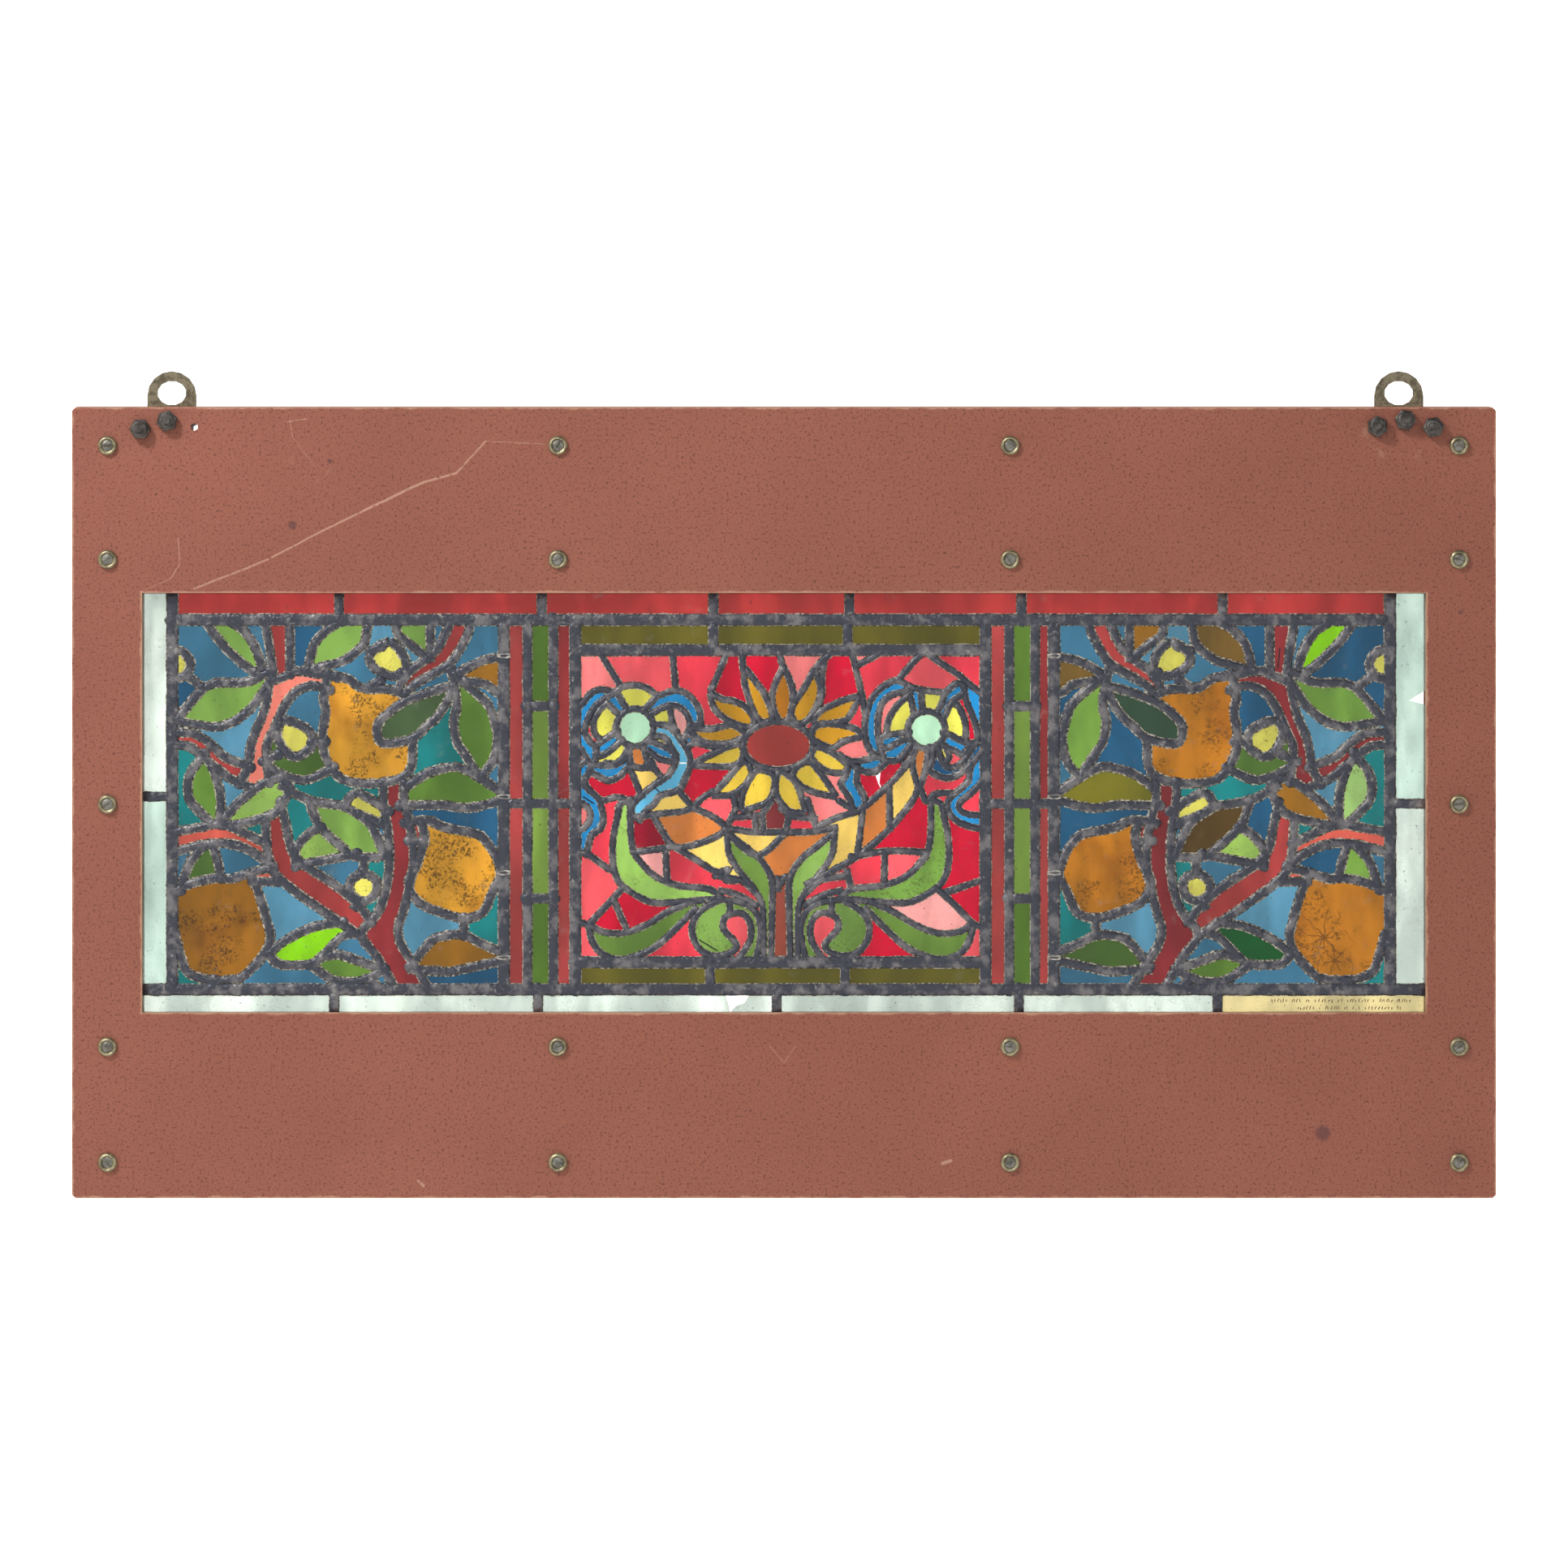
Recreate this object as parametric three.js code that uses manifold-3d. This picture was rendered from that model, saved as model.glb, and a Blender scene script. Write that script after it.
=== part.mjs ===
// A leaded stained glass window, clamped between two hardboard sheets with a
// rectangular cut-out, hung by two steel eyes bolted to its top edge.
//
// Millimetres, +Z up. The front of the window faces -Y, and +X is its right.
// Everything is drawn about the middle of the window, and the whole group is
// then moved so that the origin lies midway between the two hanging eyes.

import * as THREE from 'three';
import { mergeVertices } from 'three/addons/utils/BufferGeometryUtils.js';
import Module from 'manifold-3d';

const wasm = await Module();
wasm.setup();

// ---------------------------------------------------------------- dimensions

const GAP = 0.3; // clearance between separate pieces

// The two boards and the filler between them
const BOARD_W = 972.7;
const BOARD_H = 540.3;
const BOARD_T = 6;
const STACK_T = 3 * BOARD_T;
const CORNER_R = 2.5;
const SIGHT_W = 877.2; // the cut-out in both boards
const SIGHT_H = 286.6;
const BACK_SHIFT = [-0.5, 1.2]; // the rear board sits a little left and high
const PANEL_W = 892; // the leaded panel, held between the boards
const PANEL_H = 302;

// Front and rear planes of each layer
const FRONT = -STACK_T / 2;
const FILLER_FRONT = FRONT + BOARD_T;
const FILLER_BACK = FILLER_FRONT + BOARD_T;
const BACK = STACK_T / 2;

// Glass and lead
const GLASS_T = 3;
const LEAD_T = 6.4; // over the cames inside the cut-out
const EDGE_LEAD_T = 5.4; // over the came at the panel's rim
const LEAD_W = 5.8; // face of a curved came
const BAR_W = 8.2; // face of a straight main came
const HEART_W = 2; // web between two panes

// Straight cames: the middle lines of the main grid
const TOP_BAR = 125.2;
const BOTTOM_BAR = -127.8;
const LEFT_BAR = -418.6;
const RIGHT_BAR = 414.7;
const LEFT_STILE = [-191.7, -142.8];
const RIGHT_STILE = [137.9, 184.7];
const CENTRE_TOP_BAR = 104.4;
const CENTRE_BOTTOM_BAR = -109.2;

// Joints of the border strips, bands and stiles
const TOP_JOINTS = [-304.4, -165.8, -48.3, 44.7, 162.2, 300];
const BOTTOM_JOINTS = [-307.8, -168.3, -5, 160.6, 296.7];
const SIDE_JOINTS = [4.2, -0.6]; // left border, right border
const BAND_TOP_JOINTS = [-48.3, 43.6];
const BAND_BOTTOM_JOINTS = [-50.6, 41.7];
const STILE_COLUMNS = [16.2, 33.9]; // thin cames, from the outer bar
const STILE_ROWS = [66.1, -0.6, -65.6];

// Mirror lines of the drawing
const PICTURE_LEFT = -305; // middle of the left picture
const PICTURE_RIGHT = 299.4;
const CENTRE_AXIS = -2.25;

// Slotted screws in cup washers, in four columns and five rows
const SCREW_COLUMNS = [-462, -154.4, 154.4, 461];
const SCREW_ROWS = { top: 243.9, upper: 166.1, middle: -1, lower: -166.7, bottom: -245.6 };
const CUP_R = 6.75;
const CUP_TOP_R = 5.9;
const CUP_H = 2.9;
const HEAD_R = 4.6;
const HEAD_H = 3.3;
const SHANK_R = 1.9;
const SCREW_DEPTH = 11; // below the front face
const SLOT_W = 1.2;
const SLOT_DEPTH = 1.1;
const CUP_SIDES = 8;
const BORE_SIDES = 6;

// Hanging eyes: a plate with a round-topped loop above the boards
const EYE_CENTRES = [-420, 421.8];
const EYE_Z = 281;
const EYE_T = 2.5;
const EYE_HALF_W = 16.8;
const EYE_TOP = 296;
const EYE_HOLE = [10, 8.4];
const PLATE_HALF_W = 27;
const PLATE_BOTTOM = 246.5;
const PLATE_SHOULDER = 266;

// Bolts through the stack, with locking nuts on the front
const BOLTS_LEFT = [[-439.4, 255], [-421.1, 260.6]];
const BOLTS_RIGHT = [[405.1, 256.8], [424.1, 261.2], [443.2, 256.3]];
const EMPTY_HOLE = [-402.8, 256.7];
const BOLT_R = 2.4;
const NUT_R = 7.3;
const NUT_H = 6.2;
const COLLAR_R = 5.3;
const COLLAR_H = 1.8;
const BOLT_PROUD = 8.8;
const BOLT_HEAD_R = 4.8;
const BOLT_HEAD_H = 3;

// ------------------------------------------------------------------ materials

const look = (hex, roughness, metalness = 0) => ({ hex, roughness, metalness });
const LOOKS = {
  board: look(0xa05f4b, 0.8),
  lead: look(0x55555c, 0.5, 0.6),
  cup: look(0xa39a7c, 0.35, 0.9),
  bolt: look(0x4a4644, 0.4, 0.9),
  eye: look(0x8d8570, 0.4, 0.9),
  blue: look(0x2d7396, 0.1),
  red: look(0xc4203f, 0.1),
  rust: look(0xbe413c, 0.1),
  pale: look(0xdcf5eb, 0.1),
  olive: look(0x6b6022, 0.1),
  amber: look(0xc8912d, 0.1),
  stile: look(0x8a6b40, 0.1),
  heart: look(0x9b4440, 0.1),
};

const group = new THREE.Group();

function addPiece(name, solid, { hex, roughness, metalness }) {
  const { vertProperties, triVerts } = solid.getMesh();
  const geometry = new THREE.BufferGeometry();
  geometry.setAttribute('position', new THREE.BufferAttribute(vertProperties, 3));
  geometry.setIndex(new THREE.BufferAttribute(triVerts, 1));
  geometry.computeVertexNormals();
  const colour = new THREE.Color(hex);
  const material = new THREE.MeshStandardMaterial({ color: colour, roughness, metalness });
  const mesh = new THREE.Mesh(geometry, material);
  mesh.name = name;
  group.add(mesh);
}

// ------------------------------------------------------------------- solids

// Closed solid from a three.js geometry
function solidOf(source) {
  const geometry = source.clone();
  geometry.deleteAttribute('normal');
  geometry.deleteAttribute('uv');
  const merged = mergeVertices(geometry, 1e-4);
  const vertProperties = new Float32Array(merged.attributes.position.array);
  const triVerts = new Uint32Array(merged.index.array);
  return new wasm.Manifold(new wasm.Mesh({ numProp: 3, vertProperties, triVerts }));
}

// An upright plate: an outline in X and Z, from one Y plane back to another
function plate(outline, front, back) {
  const shape = new THREE.Shape(outline.map(([x, z]) => new THREE.Vector2(x, z)));
  const options = { depth: back - front, bevelEnabled: false };
  const geometry = new THREE.ExtrudeGeometry(shape, options);
  const place = geometry.attributes.position;
  for (let i = 0; i < place.count; i += 1) {
    place.setXYZ(i, place.getX(i), back - place.getZ(i), place.getY(i));
  }
  return solidOf(geometry);
}

// A turned solid about an axis along Y: [radius, y] pairs, front first
function turned(profile, [x, z], sides) {
  const points = profile.map(([radius, y]) => new THREE.Vector2(radius, y));
  const geometry = new THREE.LatheGeometry(points, sides);
  geometry.translate(x, 0, z);
  return solidOf(geometry);
}

const rod = (radius, front, back, at, sides) =>
  turned([[0, front], [radius, front], [radius, back], [0, back]], at, sides);

const join = (solids) => solids.reduce((whole, next) => whole.add(next));
const cut = (solid, tools) => tools.reduce((left, tool) => left.subtract(tool), solid);

const boxOutline = (x0, x1, z0, z1) => [[x0, z0], [x1, z0], [x1, z1], [x0, z1]];

// A rectangle with its corners rounded by short chamfers
function softOutline(width, height, radius) {
  const x = width / 2;
  const z = height / 2;
  return [
    [-x + radius, -z], [x - radius, -z], [x, -z + radius], [x, z - radius],
    [x - radius, z], [-x + radius, z], [-x, z - radius], [-x, -z + radius],
  ];
}

const shifted = (outline, [dx, dz]) => outline.map(([x, z]) => [x + dx, z + dz]);

// Points of a flat list, taken in pairs
function pairs(list) {
  const points = [];
  for (let i = 0; i < list.length; i += 2) points.push([list[i], list[i + 1]]);
  return points;
}

const ellipse = ([x, z], [a, b], sides) =>
  Array.from({ length: sides }, (_, i) => {
    const angle = (2 * Math.PI * (i + 0.5)) / sides;
    return [x + a * Math.cos(angle), z + b * Math.sin(angle)];
  });

// The line moved sideways by a distance, with mitred corners
function offset(points, distance, closed = false) {
  const count = points.length;
  const direction = (i) => {
    const a = points[(i + count) % count];
    const b = points[(i + 1 + count) % count];
    const length = Math.hypot(b[0] - a[0], b[1] - a[1]);
    return [(b[0] - a[0]) / length, (b[1] - a[1]) / length];
  };
  return points.map(([x, z], i) => {
    const first = closed || i > 0 ? direction(i - 1) : direction(i);
    const last = closed || i < count - 1 ? direction(i) : direction(i - 1);
    const normal = [-(first[1] + last[1]) / 2, (first[0] + last[0]) / 2];
    const square = Math.max(normal[0] ** 2 + normal[1] ** 2, 0.35);
    return [x + (normal[0] * distance) / square, z + (normal[1] * distance) / square];
  });
}

// --------------------------------------------------------- boards and filler

function boards() {
  const screwSpots = Object.entries(SCREW_ROWS).flatMap(([row, z]) =>
    SCREW_COLUMNS.filter((x) => row !== 'middle' || Math.abs(x) > SIGHT_W / 2)
      .map((x) => [x, z]));
  const boltSpots = [...BOLTS_LEFT, ...BOLTS_RIGHT, EMPTY_HOLE];
  const bores = (spots, radius, back) =>
    spots.map((at) => rod(radius + GAP, FRONT - 1, back, at, BORE_SIDES));
  const throughBolts = bores(boltSpots, BOLT_R, BACK + 1);
  const screwBores = bores(screwSpots, SHANK_R, FRONT + SCREW_DEPTH + GAP);
  const outer = softOutline(BOARD_W, BOARD_H, CORNER_R);
  const sight = boxOutline(-SIGHT_W / 2, SIGHT_W / 2, -SIGHT_H / 2, SIGHT_H / 2);
  const rebate = boxOutline(-PANEL_W / 2, PANEL_W / 2, -PANEL_H / 2, PANEL_H / 2);

  const front = plate(outer, FRONT, FILLER_FRONT);
  const frontCuts = [plate(sight, FRONT - 1, FILLER_FRONT + 1), ...throughBolts, ...screwBores];
  addPiece('front_board', cut(front, frontCuts), LOOKS.board);

  const filler = plate(outer, FILLER_FRONT, FILLER_BACK);
  const fillerCuts = [plate(rebate, FRONT, BACK), ...throughBolts, ...screwBores];
  addPiece('filler_board', cut(filler, fillerCuts), LOOKS.board);

  const back = plate(shifted(outer, BACK_SHIFT), FILLER_BACK, BACK);
  const backCuts = [plate(sight, FRONT, BACK + 1), ...throughBolts];
  addPiece('back_board', cut(back, backCuts), LOOKS.board);
  return screwSpots;
}

// ------------------------------------------------------------------ fittings

// A slotted screw in a raised cup washer, as one solid
function cupScrew(at, slotDegrees) {
  const head = turned([
    [0, FRONT - HEAD_H], [HEAD_R, FRONT - HEAD_H], [CUP_TOP_R, FRONT - CUP_H],
    [CUP_R, FRONT], [0, FRONT],
  ], at, CUP_SIDES);
  const shank = rod(SHANK_R, FRONT - 1, FRONT + SCREW_DEPTH, at, BORE_SIDES);
  const bar = new THREE.BoxGeometry(2 * HEAD_R - 0.4, 2 * SLOT_DEPTH, SLOT_W);
  bar.rotateY(THREE.MathUtils.degToRad(-slotDegrees));
  bar.translate(at[0], FRONT - HEAD_H, at[1]);
  return head.add(shank).subtract(solidOf(bar));
}

function screws() {
  const slots = {
    top: [6, 60, -50, 20],
    upper: [-30, 75, 10, -65],
    middle: [0, 0, 0, 80],
    lower: [40, -15, 55, -5],
    bottom: [-60, 35, -20, 50],
  };
  for (const [row, z] of Object.entries(SCREW_ROWS)) {
    SCREW_COLUMNS.forEach((x, column) => {
      if (row === 'middle' && Math.abs(x) < SIGHT_W / 2) return;
      const name = `cup_screw_${row}_${column + 1}`;
      addPiece(name, cupScrew([x, z], slots[row][column]), LOOKS.cup);
    });
  }
}

function hangerBolt(at) {
  const nut = rod(NUT_R, FRONT - NUT_H, FRONT, at, 6);
  const collar = rod(COLLAR_R, FRONT - NUT_H - COLLAR_H, FRONT - 1, at, 10);
  const shank = rod(BOLT_R, FRONT - BOLT_PROUD, BACK + EYE_T + 1, at, BORE_SIDES);
  const headFront = BACK + EYE_T;
  const head = rod(BOLT_HEAD_R, headFront, headFront + BOLT_HEAD_H, at, 8);
  return join([nut, collar, shank, head]);
}

function bolts() {
  BOLTS_LEFT.forEach((at, i) => addPiece(`hanger_bolt_left_${i + 1}`, hangerBolt(at), LOOKS.bolt));
  BOLTS_RIGHT.forEach((at, i) => addPiece(`hanger_bolt_right_${i + 1}`, hangerBolt(at), LOOKS.bolt));
}

// A flat plate behind the boards whose round-topped loop stands above them
function hangingEye(x, spots) {
  const arch = Array.from({ length: 9 }, (_, i) => {
    const angle = (Math.PI * i) / 8;
    const centre = EYE_TOP - EYE_HALF_W;
    return [EYE_HALF_W * Math.cos(angle), centre + EYE_HALF_W * Math.sin(angle)];
  });
  const outline = [
    [-PLATE_HALF_W + 4, PLATE_BOTTOM], [PLATE_HALF_W - 4, PLATE_BOTTOM],
    [PLATE_HALF_W, PLATE_BOTTOM + 5], [PLATE_HALF_W - 2, PLATE_SHOULDER - 4],
    [EYE_HALF_W, PLATE_SHOULDER], ...arch, [-EYE_HALF_W, PLATE_SHOULDER],
    [-PLATE_HALF_W + 2, PLATE_SHOULDER - 4], [-PLATE_HALF_W, PLATE_BOTTOM + 5],
  ];
  const body = plate(shifted(outline, [x, 0]), BACK, BACK + EYE_T);
  const hole = plate(ellipse([x, EYE_Z], EYE_HOLE, 12), BACK - 1, BACK + EYE_T + 1);
  const holes = spots.map((at) => rod(BOLT_R + GAP, BACK - 1, BACK + EYE_T + 1, at, BORE_SIDES));
  return cut(body, [hole, ...holes]);
}

function eyes() {
  const [left, right] = EYE_CENTRES;
  addPiece('hanging_eye_left', hangingEye(left, [...BOLTS_LEFT, EMPTY_HOLE]), LOOKS.eye);
  addPiece('hanging_eye_right', hangingEye(right, BOLTS_RIGHT), LOOKS.eye);
}

// ---------------------------------------------------- the drawing in lead

// Middle lines of the cames in a side picture, about its middle. The right
// picture is the left one mirrored. Each line is a flat list of x, z.
const SIDE_CAMES = {
  leaf_a: [[-91, 126, -78, 106, -52, 90], [-70, 126, -50, 92]],
  stem_1: [[-33, 126, -34, 84]],
  leaf_b: [[-116, 55, -92, 78, -44, 88], [-70, 55, -46, 80]],
  leaf_b_under: [[-116, 56, -66, 55]],
  branch_1: [[4, 84, -40, 86, -58, 45, -67, 10], [4, 77, -34, 73, -49, 36, -44, 12]],
  leaf_c: [[2, 126, -18, 108, -22, 86], [21, 126, 14, 101, -20, 90]],
  branch_2: [[77, 126, 64, 100, 44, 76], [91, 126, 80, 98, 50, 76]],
  fruit_1: [[42, 77, 4, 80], [-10, 80, -11, 42, 10, 13, 44, 18, 50, 42]],
  leaf_e: [[78, 80, 36, 62, 28, 43, 50, 42], [78, 80, 52, 44]],
  leaf_g: [[78, 90, 80, 55, 98, 17], [78, 88, 105, 58, 98, 17]],
  leaf_r: [[44, 6, 78, 25, 116, 4], [44, 4, 78, -4, 114, 2]],
  twig_1: [[-116, 43, -93, 39, -60, 18]],
  leaf_j: [[-92, 38, -104, 12, -84, -16], [-88, 36, -82, -16]],
  twig_2: [[-116, -26, -80, -18, -48, -32]],
  stem_3: [[-34, -10, -32, -34, 20, -84], [-51, -28, -44, -46, 16, -90]],
  leaf_p: [[-46, 14, 14, -8, 36, -37], [-22, 4, -10, -22, 36, -37]],
  trunk: [[31, 16, 36, -45, 18, -89, 38, -126], [45, 14, 49, -60, 41, -90, 60, -126]],
  fruit_2: [[46, -14, 75, -17, 104, -32, 116, -46], [52, -16, 50, -55, 66, -76, 90, -79, 114, -46]],
  fruit_3: [[-116, -60, -80, -50, -46, -44], [-48, -44, -47, -90, -66, -126], [-116, -96, -92, -126]],
  leaf_x: [[-48, -103, -18, -86, 16, -86], [-48, -103, -20, -111, 12, -86]],
  leaf_w: [[50, -108, 80, -90, 116, -105], [54, -110, 84, -116, 114, -106]],
};
const SIDE_RINGS = [[32, 98, 13.5]]; // bud: x, z, radius

// Outlines of the three fruits' glass in a side picture
const FRUITS = [
  [-6, 78, -8, 45, 0, 22, 12, 16, 35, 16, 47, 26, 47, 38, 34, 38, 25, 46, 28, 58, 42, 72, 14, 76],
  [63, -21, 84, -24, 104, -37, 107, -46, 101, -67, 91, -76, 60, -68, 51, -55],
  [-108, -80, -102, -63, -84, -56, -58, -58, -50, -90, -70, -118, -97, -119, -107, -98],
];

// Cames of the centre picture's left half; the right half mirrors it
const CENTRE_HALF = {
  top_rays: [[-122, 106, -111, 78], [-76, 106, -73, 74]],
  left_ribbon: [[-144, 64, -126, 76, -102, 79, -86, 73], [-119, 76, -136, 52, -127, 31]],
  petals: [[-114, 76, -107, 62], [-87, 73, -95, 61], [-124, 66, -111, 59], [-132, 44, -113, 46]],
  right_ribbon: [[-86, 73, -73, 77, -57, 56, -60, 44], [-91, 59, -76, 66, -64, 44]],
  bowl: [[-144, 36, -120, 15, -104, 25, -88, 22], [-138, 14, -124, 1, -98, 3], [-105, 38, -98, 3]],
  long_ribbon: [[-66, 44, -62, 30, -67, 10, -101, -12], [-91, 44, -74, 34, -80, 16, -104, -3]],
  edge_ribbon: [[-138, 26, -138, 14, -124, -8, -138, -32, -117, -46]],
  scroll: [
    [-111, 2, -117, -35, -108, -59, -88, -68, -43, -66],
    [-105, 2, -103, -30, -86, -51, -43, -62],
  ],
  rays: [[-108, -58, -134, -84], [-103, -34, -74, -30], [-80, -30, -79, -56]],
  low_leaf: [[-144, -82, -115, -90, -92, -82, -64, -68], [-133, -84, -120, -105, -98, -104, -60, -74]],
  volute: [
    [-45, -66, -62, -82, -58, -98, -42, -105, -34, -96, -42, -82, -37, -66],
    [-40, -76, -24, -80, -24, -95, -32, -110],
  ],
  long_leaf: [[-40, -16, -30, -48, -16, -70, -20, -110], [-40, -16, -13, -43, -8, -60, -9, -110]],
  swag: [[-96, -8, -66, -5, -36, -18], [-76, -30, -38, -19], [-76, -30, -44, -49, -24, -56]],
};
const ROSETTE = [-102, 50, 13];

// Cames that only the centre picture's middle has
const CENTRE_MIDDLE = [
  [-50, 77, -38, 106], [-28, 92, -29, 106], [0, 92, -4, 106], [21, 91, 31, 106], [52, 75, 46, 106],
  [-40, -16, -2, -21, 34, -16], [-36, -22, -18, -36, 2, -21],
];
const HEART = [-4, 39, 24, 16.5]; // the sunflower's heart: x, z and the ring's half axes

// Petals of the sunflower: tip x, tip z, then the angle and half width at the heart
const PETALS = [
  [-50, 75, 140, 7], [-28, 92, 115, 6], [0, 92, 88, 5], [21, 91, 58, 7], [52, 75, 38, 7],
  [57, 47, 10, 6], [44, 22, -14, 5], [36, 3, -42, 7], [14, -8, -78, 6], [-31, -5, -105, 7],
  [-49, 5, -135, 6], [-65, 29, -164, 5], [-67, 49, 168, 6],
];

const mirrored = (points, axis) => points.map(([x, z]) => [2 * axis - x, z]);
const sideOf = (points, left) => points.map(([x, z]) =>
  (left ? [PICTURE_LEFT + x, z] : [PICTURE_RIGHT - x, z]));

// Both edges of a petal, as one came over its tip
function petalLine([tipX, tipZ, degrees, halfWidth]) {
  const [x, z, a, b] = HEART;
  const angle = THREE.MathUtils.degToRad(degrees);
  const root = [x + a * Math.cos(angle), z + b * Math.sin(angle)];
  const reach = Math.hypot(tipX - root[0], tipZ - root[1]);
  const side = [(-(tipZ - root[1]) / reach) * halfWidth, ((tipX - root[0]) / reach) * halfWidth];
  const along = (share, across) => [
    root[0] + (tipX - root[0]) * share + side[0] * across,
    root[1] + (tipZ - root[1]) * share + side[1] * across,
  ];
  return [along(0, 0.7), along(0.5, 1), [tipX, tipZ], along(0.5, -1), along(0, -0.7)];
}

function pictureCames() {
  const side = Object.values(SIDE_CAMES).flat().map(pairs);
  const half = Object.values(CENTRE_HALF).flat().map(pairs);
  return [
    ...side.map((line) => sideOf(line, true)),
    ...side.map((line) => sideOf(line, false)),
    ...half,
    ...half.map((line) => mirrored(line, CENTRE_AXIS)),
    ...CENTRE_MIDDLE.map(pairs),
    ...PETALS.map(petalLine),
  ];
}

function pictureRings() {
  const [roseX, roseZ, roseR] = ROSETTE;
  const rose = ellipse([roseX, roseZ], [roseR, roseR], 8);
  const [x, z, a, b] = HEART;
  const buds = SIDE_RINGS.map(([u, v, r]) => ellipse([u, v], [r, r], 6));
  return [
    rose, mirrored(rose, CENTRE_AXIS), ellipse([x, z], [a, b], 14),
    ...buds.map((ring) => sideOf(ring, true)), ...buds.map((ring) => sideOf(ring, false)),
  ];
}

const strip = (line, width) => [
  ...offset(line, -width / 2), ...offset(line, width / 2).reverse(),
];

// The straight cames of the grid: [x0, z0, x1, z1, width]
function gridBars() {
  const rimX = PANEL_W / 2 - 1;
  const rimZ = PANEL_H / 2 - 1;
  const main = [
    [LEFT_BAR, TOP_BAR, RIGHT_BAR, TOP_BAR], [-rimX, BOTTOM_BAR, rimX, BOTTOM_BAR],
    [LEFT_BAR, BOTTOM_BAR, LEFT_BAR, rimZ], [RIGHT_BAR, BOTTOM_BAR, RIGHT_BAR, rimZ],
    ...[...LEFT_STILE, ...RIGHT_STILE].map((x) => [x, BOTTOM_BAR, x, TOP_BAR]),
    ...[CENTRE_TOP_BAR, CENTRE_BOTTOM_BAR].map((z) => [LEFT_STILE[1], z, RIGHT_STILE[0], z]),
  ];
  const thin = [
    ...TOP_JOINTS.map((x) => [x, TOP_BAR, x, rimZ]),
    ...BOTTOM_JOINTS.map((x) => [x, -rimZ, x, BOTTOM_BAR]),
    [-rimX, SIDE_JOINTS[0], LEFT_BAR, SIDE_JOINTS[0]],
    [RIGHT_BAR, SIDE_JOINTS[1], rimX, SIDE_JOINTS[1]],
    ...BAND_TOP_JOINTS.map((x) => [x, CENTRE_TOP_BAR, x, TOP_BAR]),
    ...BAND_BOTTOM_JOINTS.map((x) => [x, BOTTOM_BAR, x, CENTRE_BOTTOM_BAR]),
  ];
  for (const [outer, inner] of [LEFT_STILE, RIGHT_STILE]) {
    const columns = STILE_COLUMNS.map((step) => outer + step * Math.sign(inner - outer));
    const [first, last] = columns;
    thin.push(...columns.map((x) => [x, BOTTOM_BAR, x, TOP_BAR]));
    thin.push([outer, STILE_ROWS[1], inner, STILE_ROWS[1]]);
    thin.push([first, STILE_ROWS[0], last, STILE_ROWS[0]], [first, STILE_ROWS[2], last, STILE_ROWS[2]]);
  }
  return { main, thin };
}

// A slab with the gaps between the cames cut out of it, so that crossing cames
// share one flat face. strips(front, back) makes the cames between two planes.
function openwork(front, back, strips) {
  const slab = (margin, depth) => plate(boxOutline(
    -SIGHT_W / 2 - margin, SIGHT_W / 2 + margin, -SIGHT_H / 2 - margin, SIGHT_H / 2 + margin,
  ), front - depth, back + depth);
  const gaps = slab(1, 1).subtract(join(strips(front - 2, back + 2)));
  return slab(0, 0).subtract(gaps);
}

function leading() {
  const { main, thin } = gridBars();
  const half = LEAD_T / 2;
  const web = GLASS_T / 2;
  const bars = (lines, width) => (front, back) => lines.map(
    ([x0, z0, x1, z1]) => plate(strip([[x0, z0], [x1, z1]], width), front, back));
  const ringAt = (ring, front, back) => plate(offset(ring, -LEAD_W / 2, true), front, back)
    .subtract(plate(offset(ring, LEAD_W / 2, true), front - 1, back + 1));
  const network = (front, back) => [
    ...bars(main, BAR_W)(front, back), ...bars(thin, LEAD_W)(front, back),
    ...pictureCames().map((line) => plate(strip(line, LEAD_W), front, back)),
    ...pictureRings().map((ring) => ringAt(ring, front, back)),
  ];
  const rimOuter = boxOutline(...[-1, 1].map((s) => s * (PANEL_W / 2 - GAP)),
    ...[-1, 1].map((s) => s * (PANEL_H / 2 - GAP)));
  const rimInner = boxOutline(-SIGHT_W / 2, SIGHT_W / 2, -SIGHT_H / 2, SIGHT_H / 2);
  const rim = plate(rimOuter, -EDGE_LEAD_T / 2, EDGE_LEAD_T / 2)
    .subtract(plate(rimInner, -LEAD_T, LEAD_T));
  addPiece('leading', join([
    openwork(-half, -web, network),
    openwork(-web, web, bars(main, HEART_W)),
    openwork(web, half, bars(main, BAR_W)),
    rim,
  ]), LOOKS.lead);
}

// ------------------------------------------------------------------- glass

const web = HEART_W / 2 + GAP;
const pane = (x0, x1, z0, z1) =>
  plate(boxOutline(x0 + web, x1 - web, z0 + web, z1 - web), -GLASS_T / 2, GLASS_T / 2);

// Panes between neighbouring joints along a border, from left to right or upwards
function strips(prefix, edges, make, colour) {
  for (let i = 0; i + 1 < edges.length; i += 1) {
    addPiece(`${prefix}_${i + 1}`, make(edges[i], edges[i + 1]), colour);
  }
}

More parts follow.
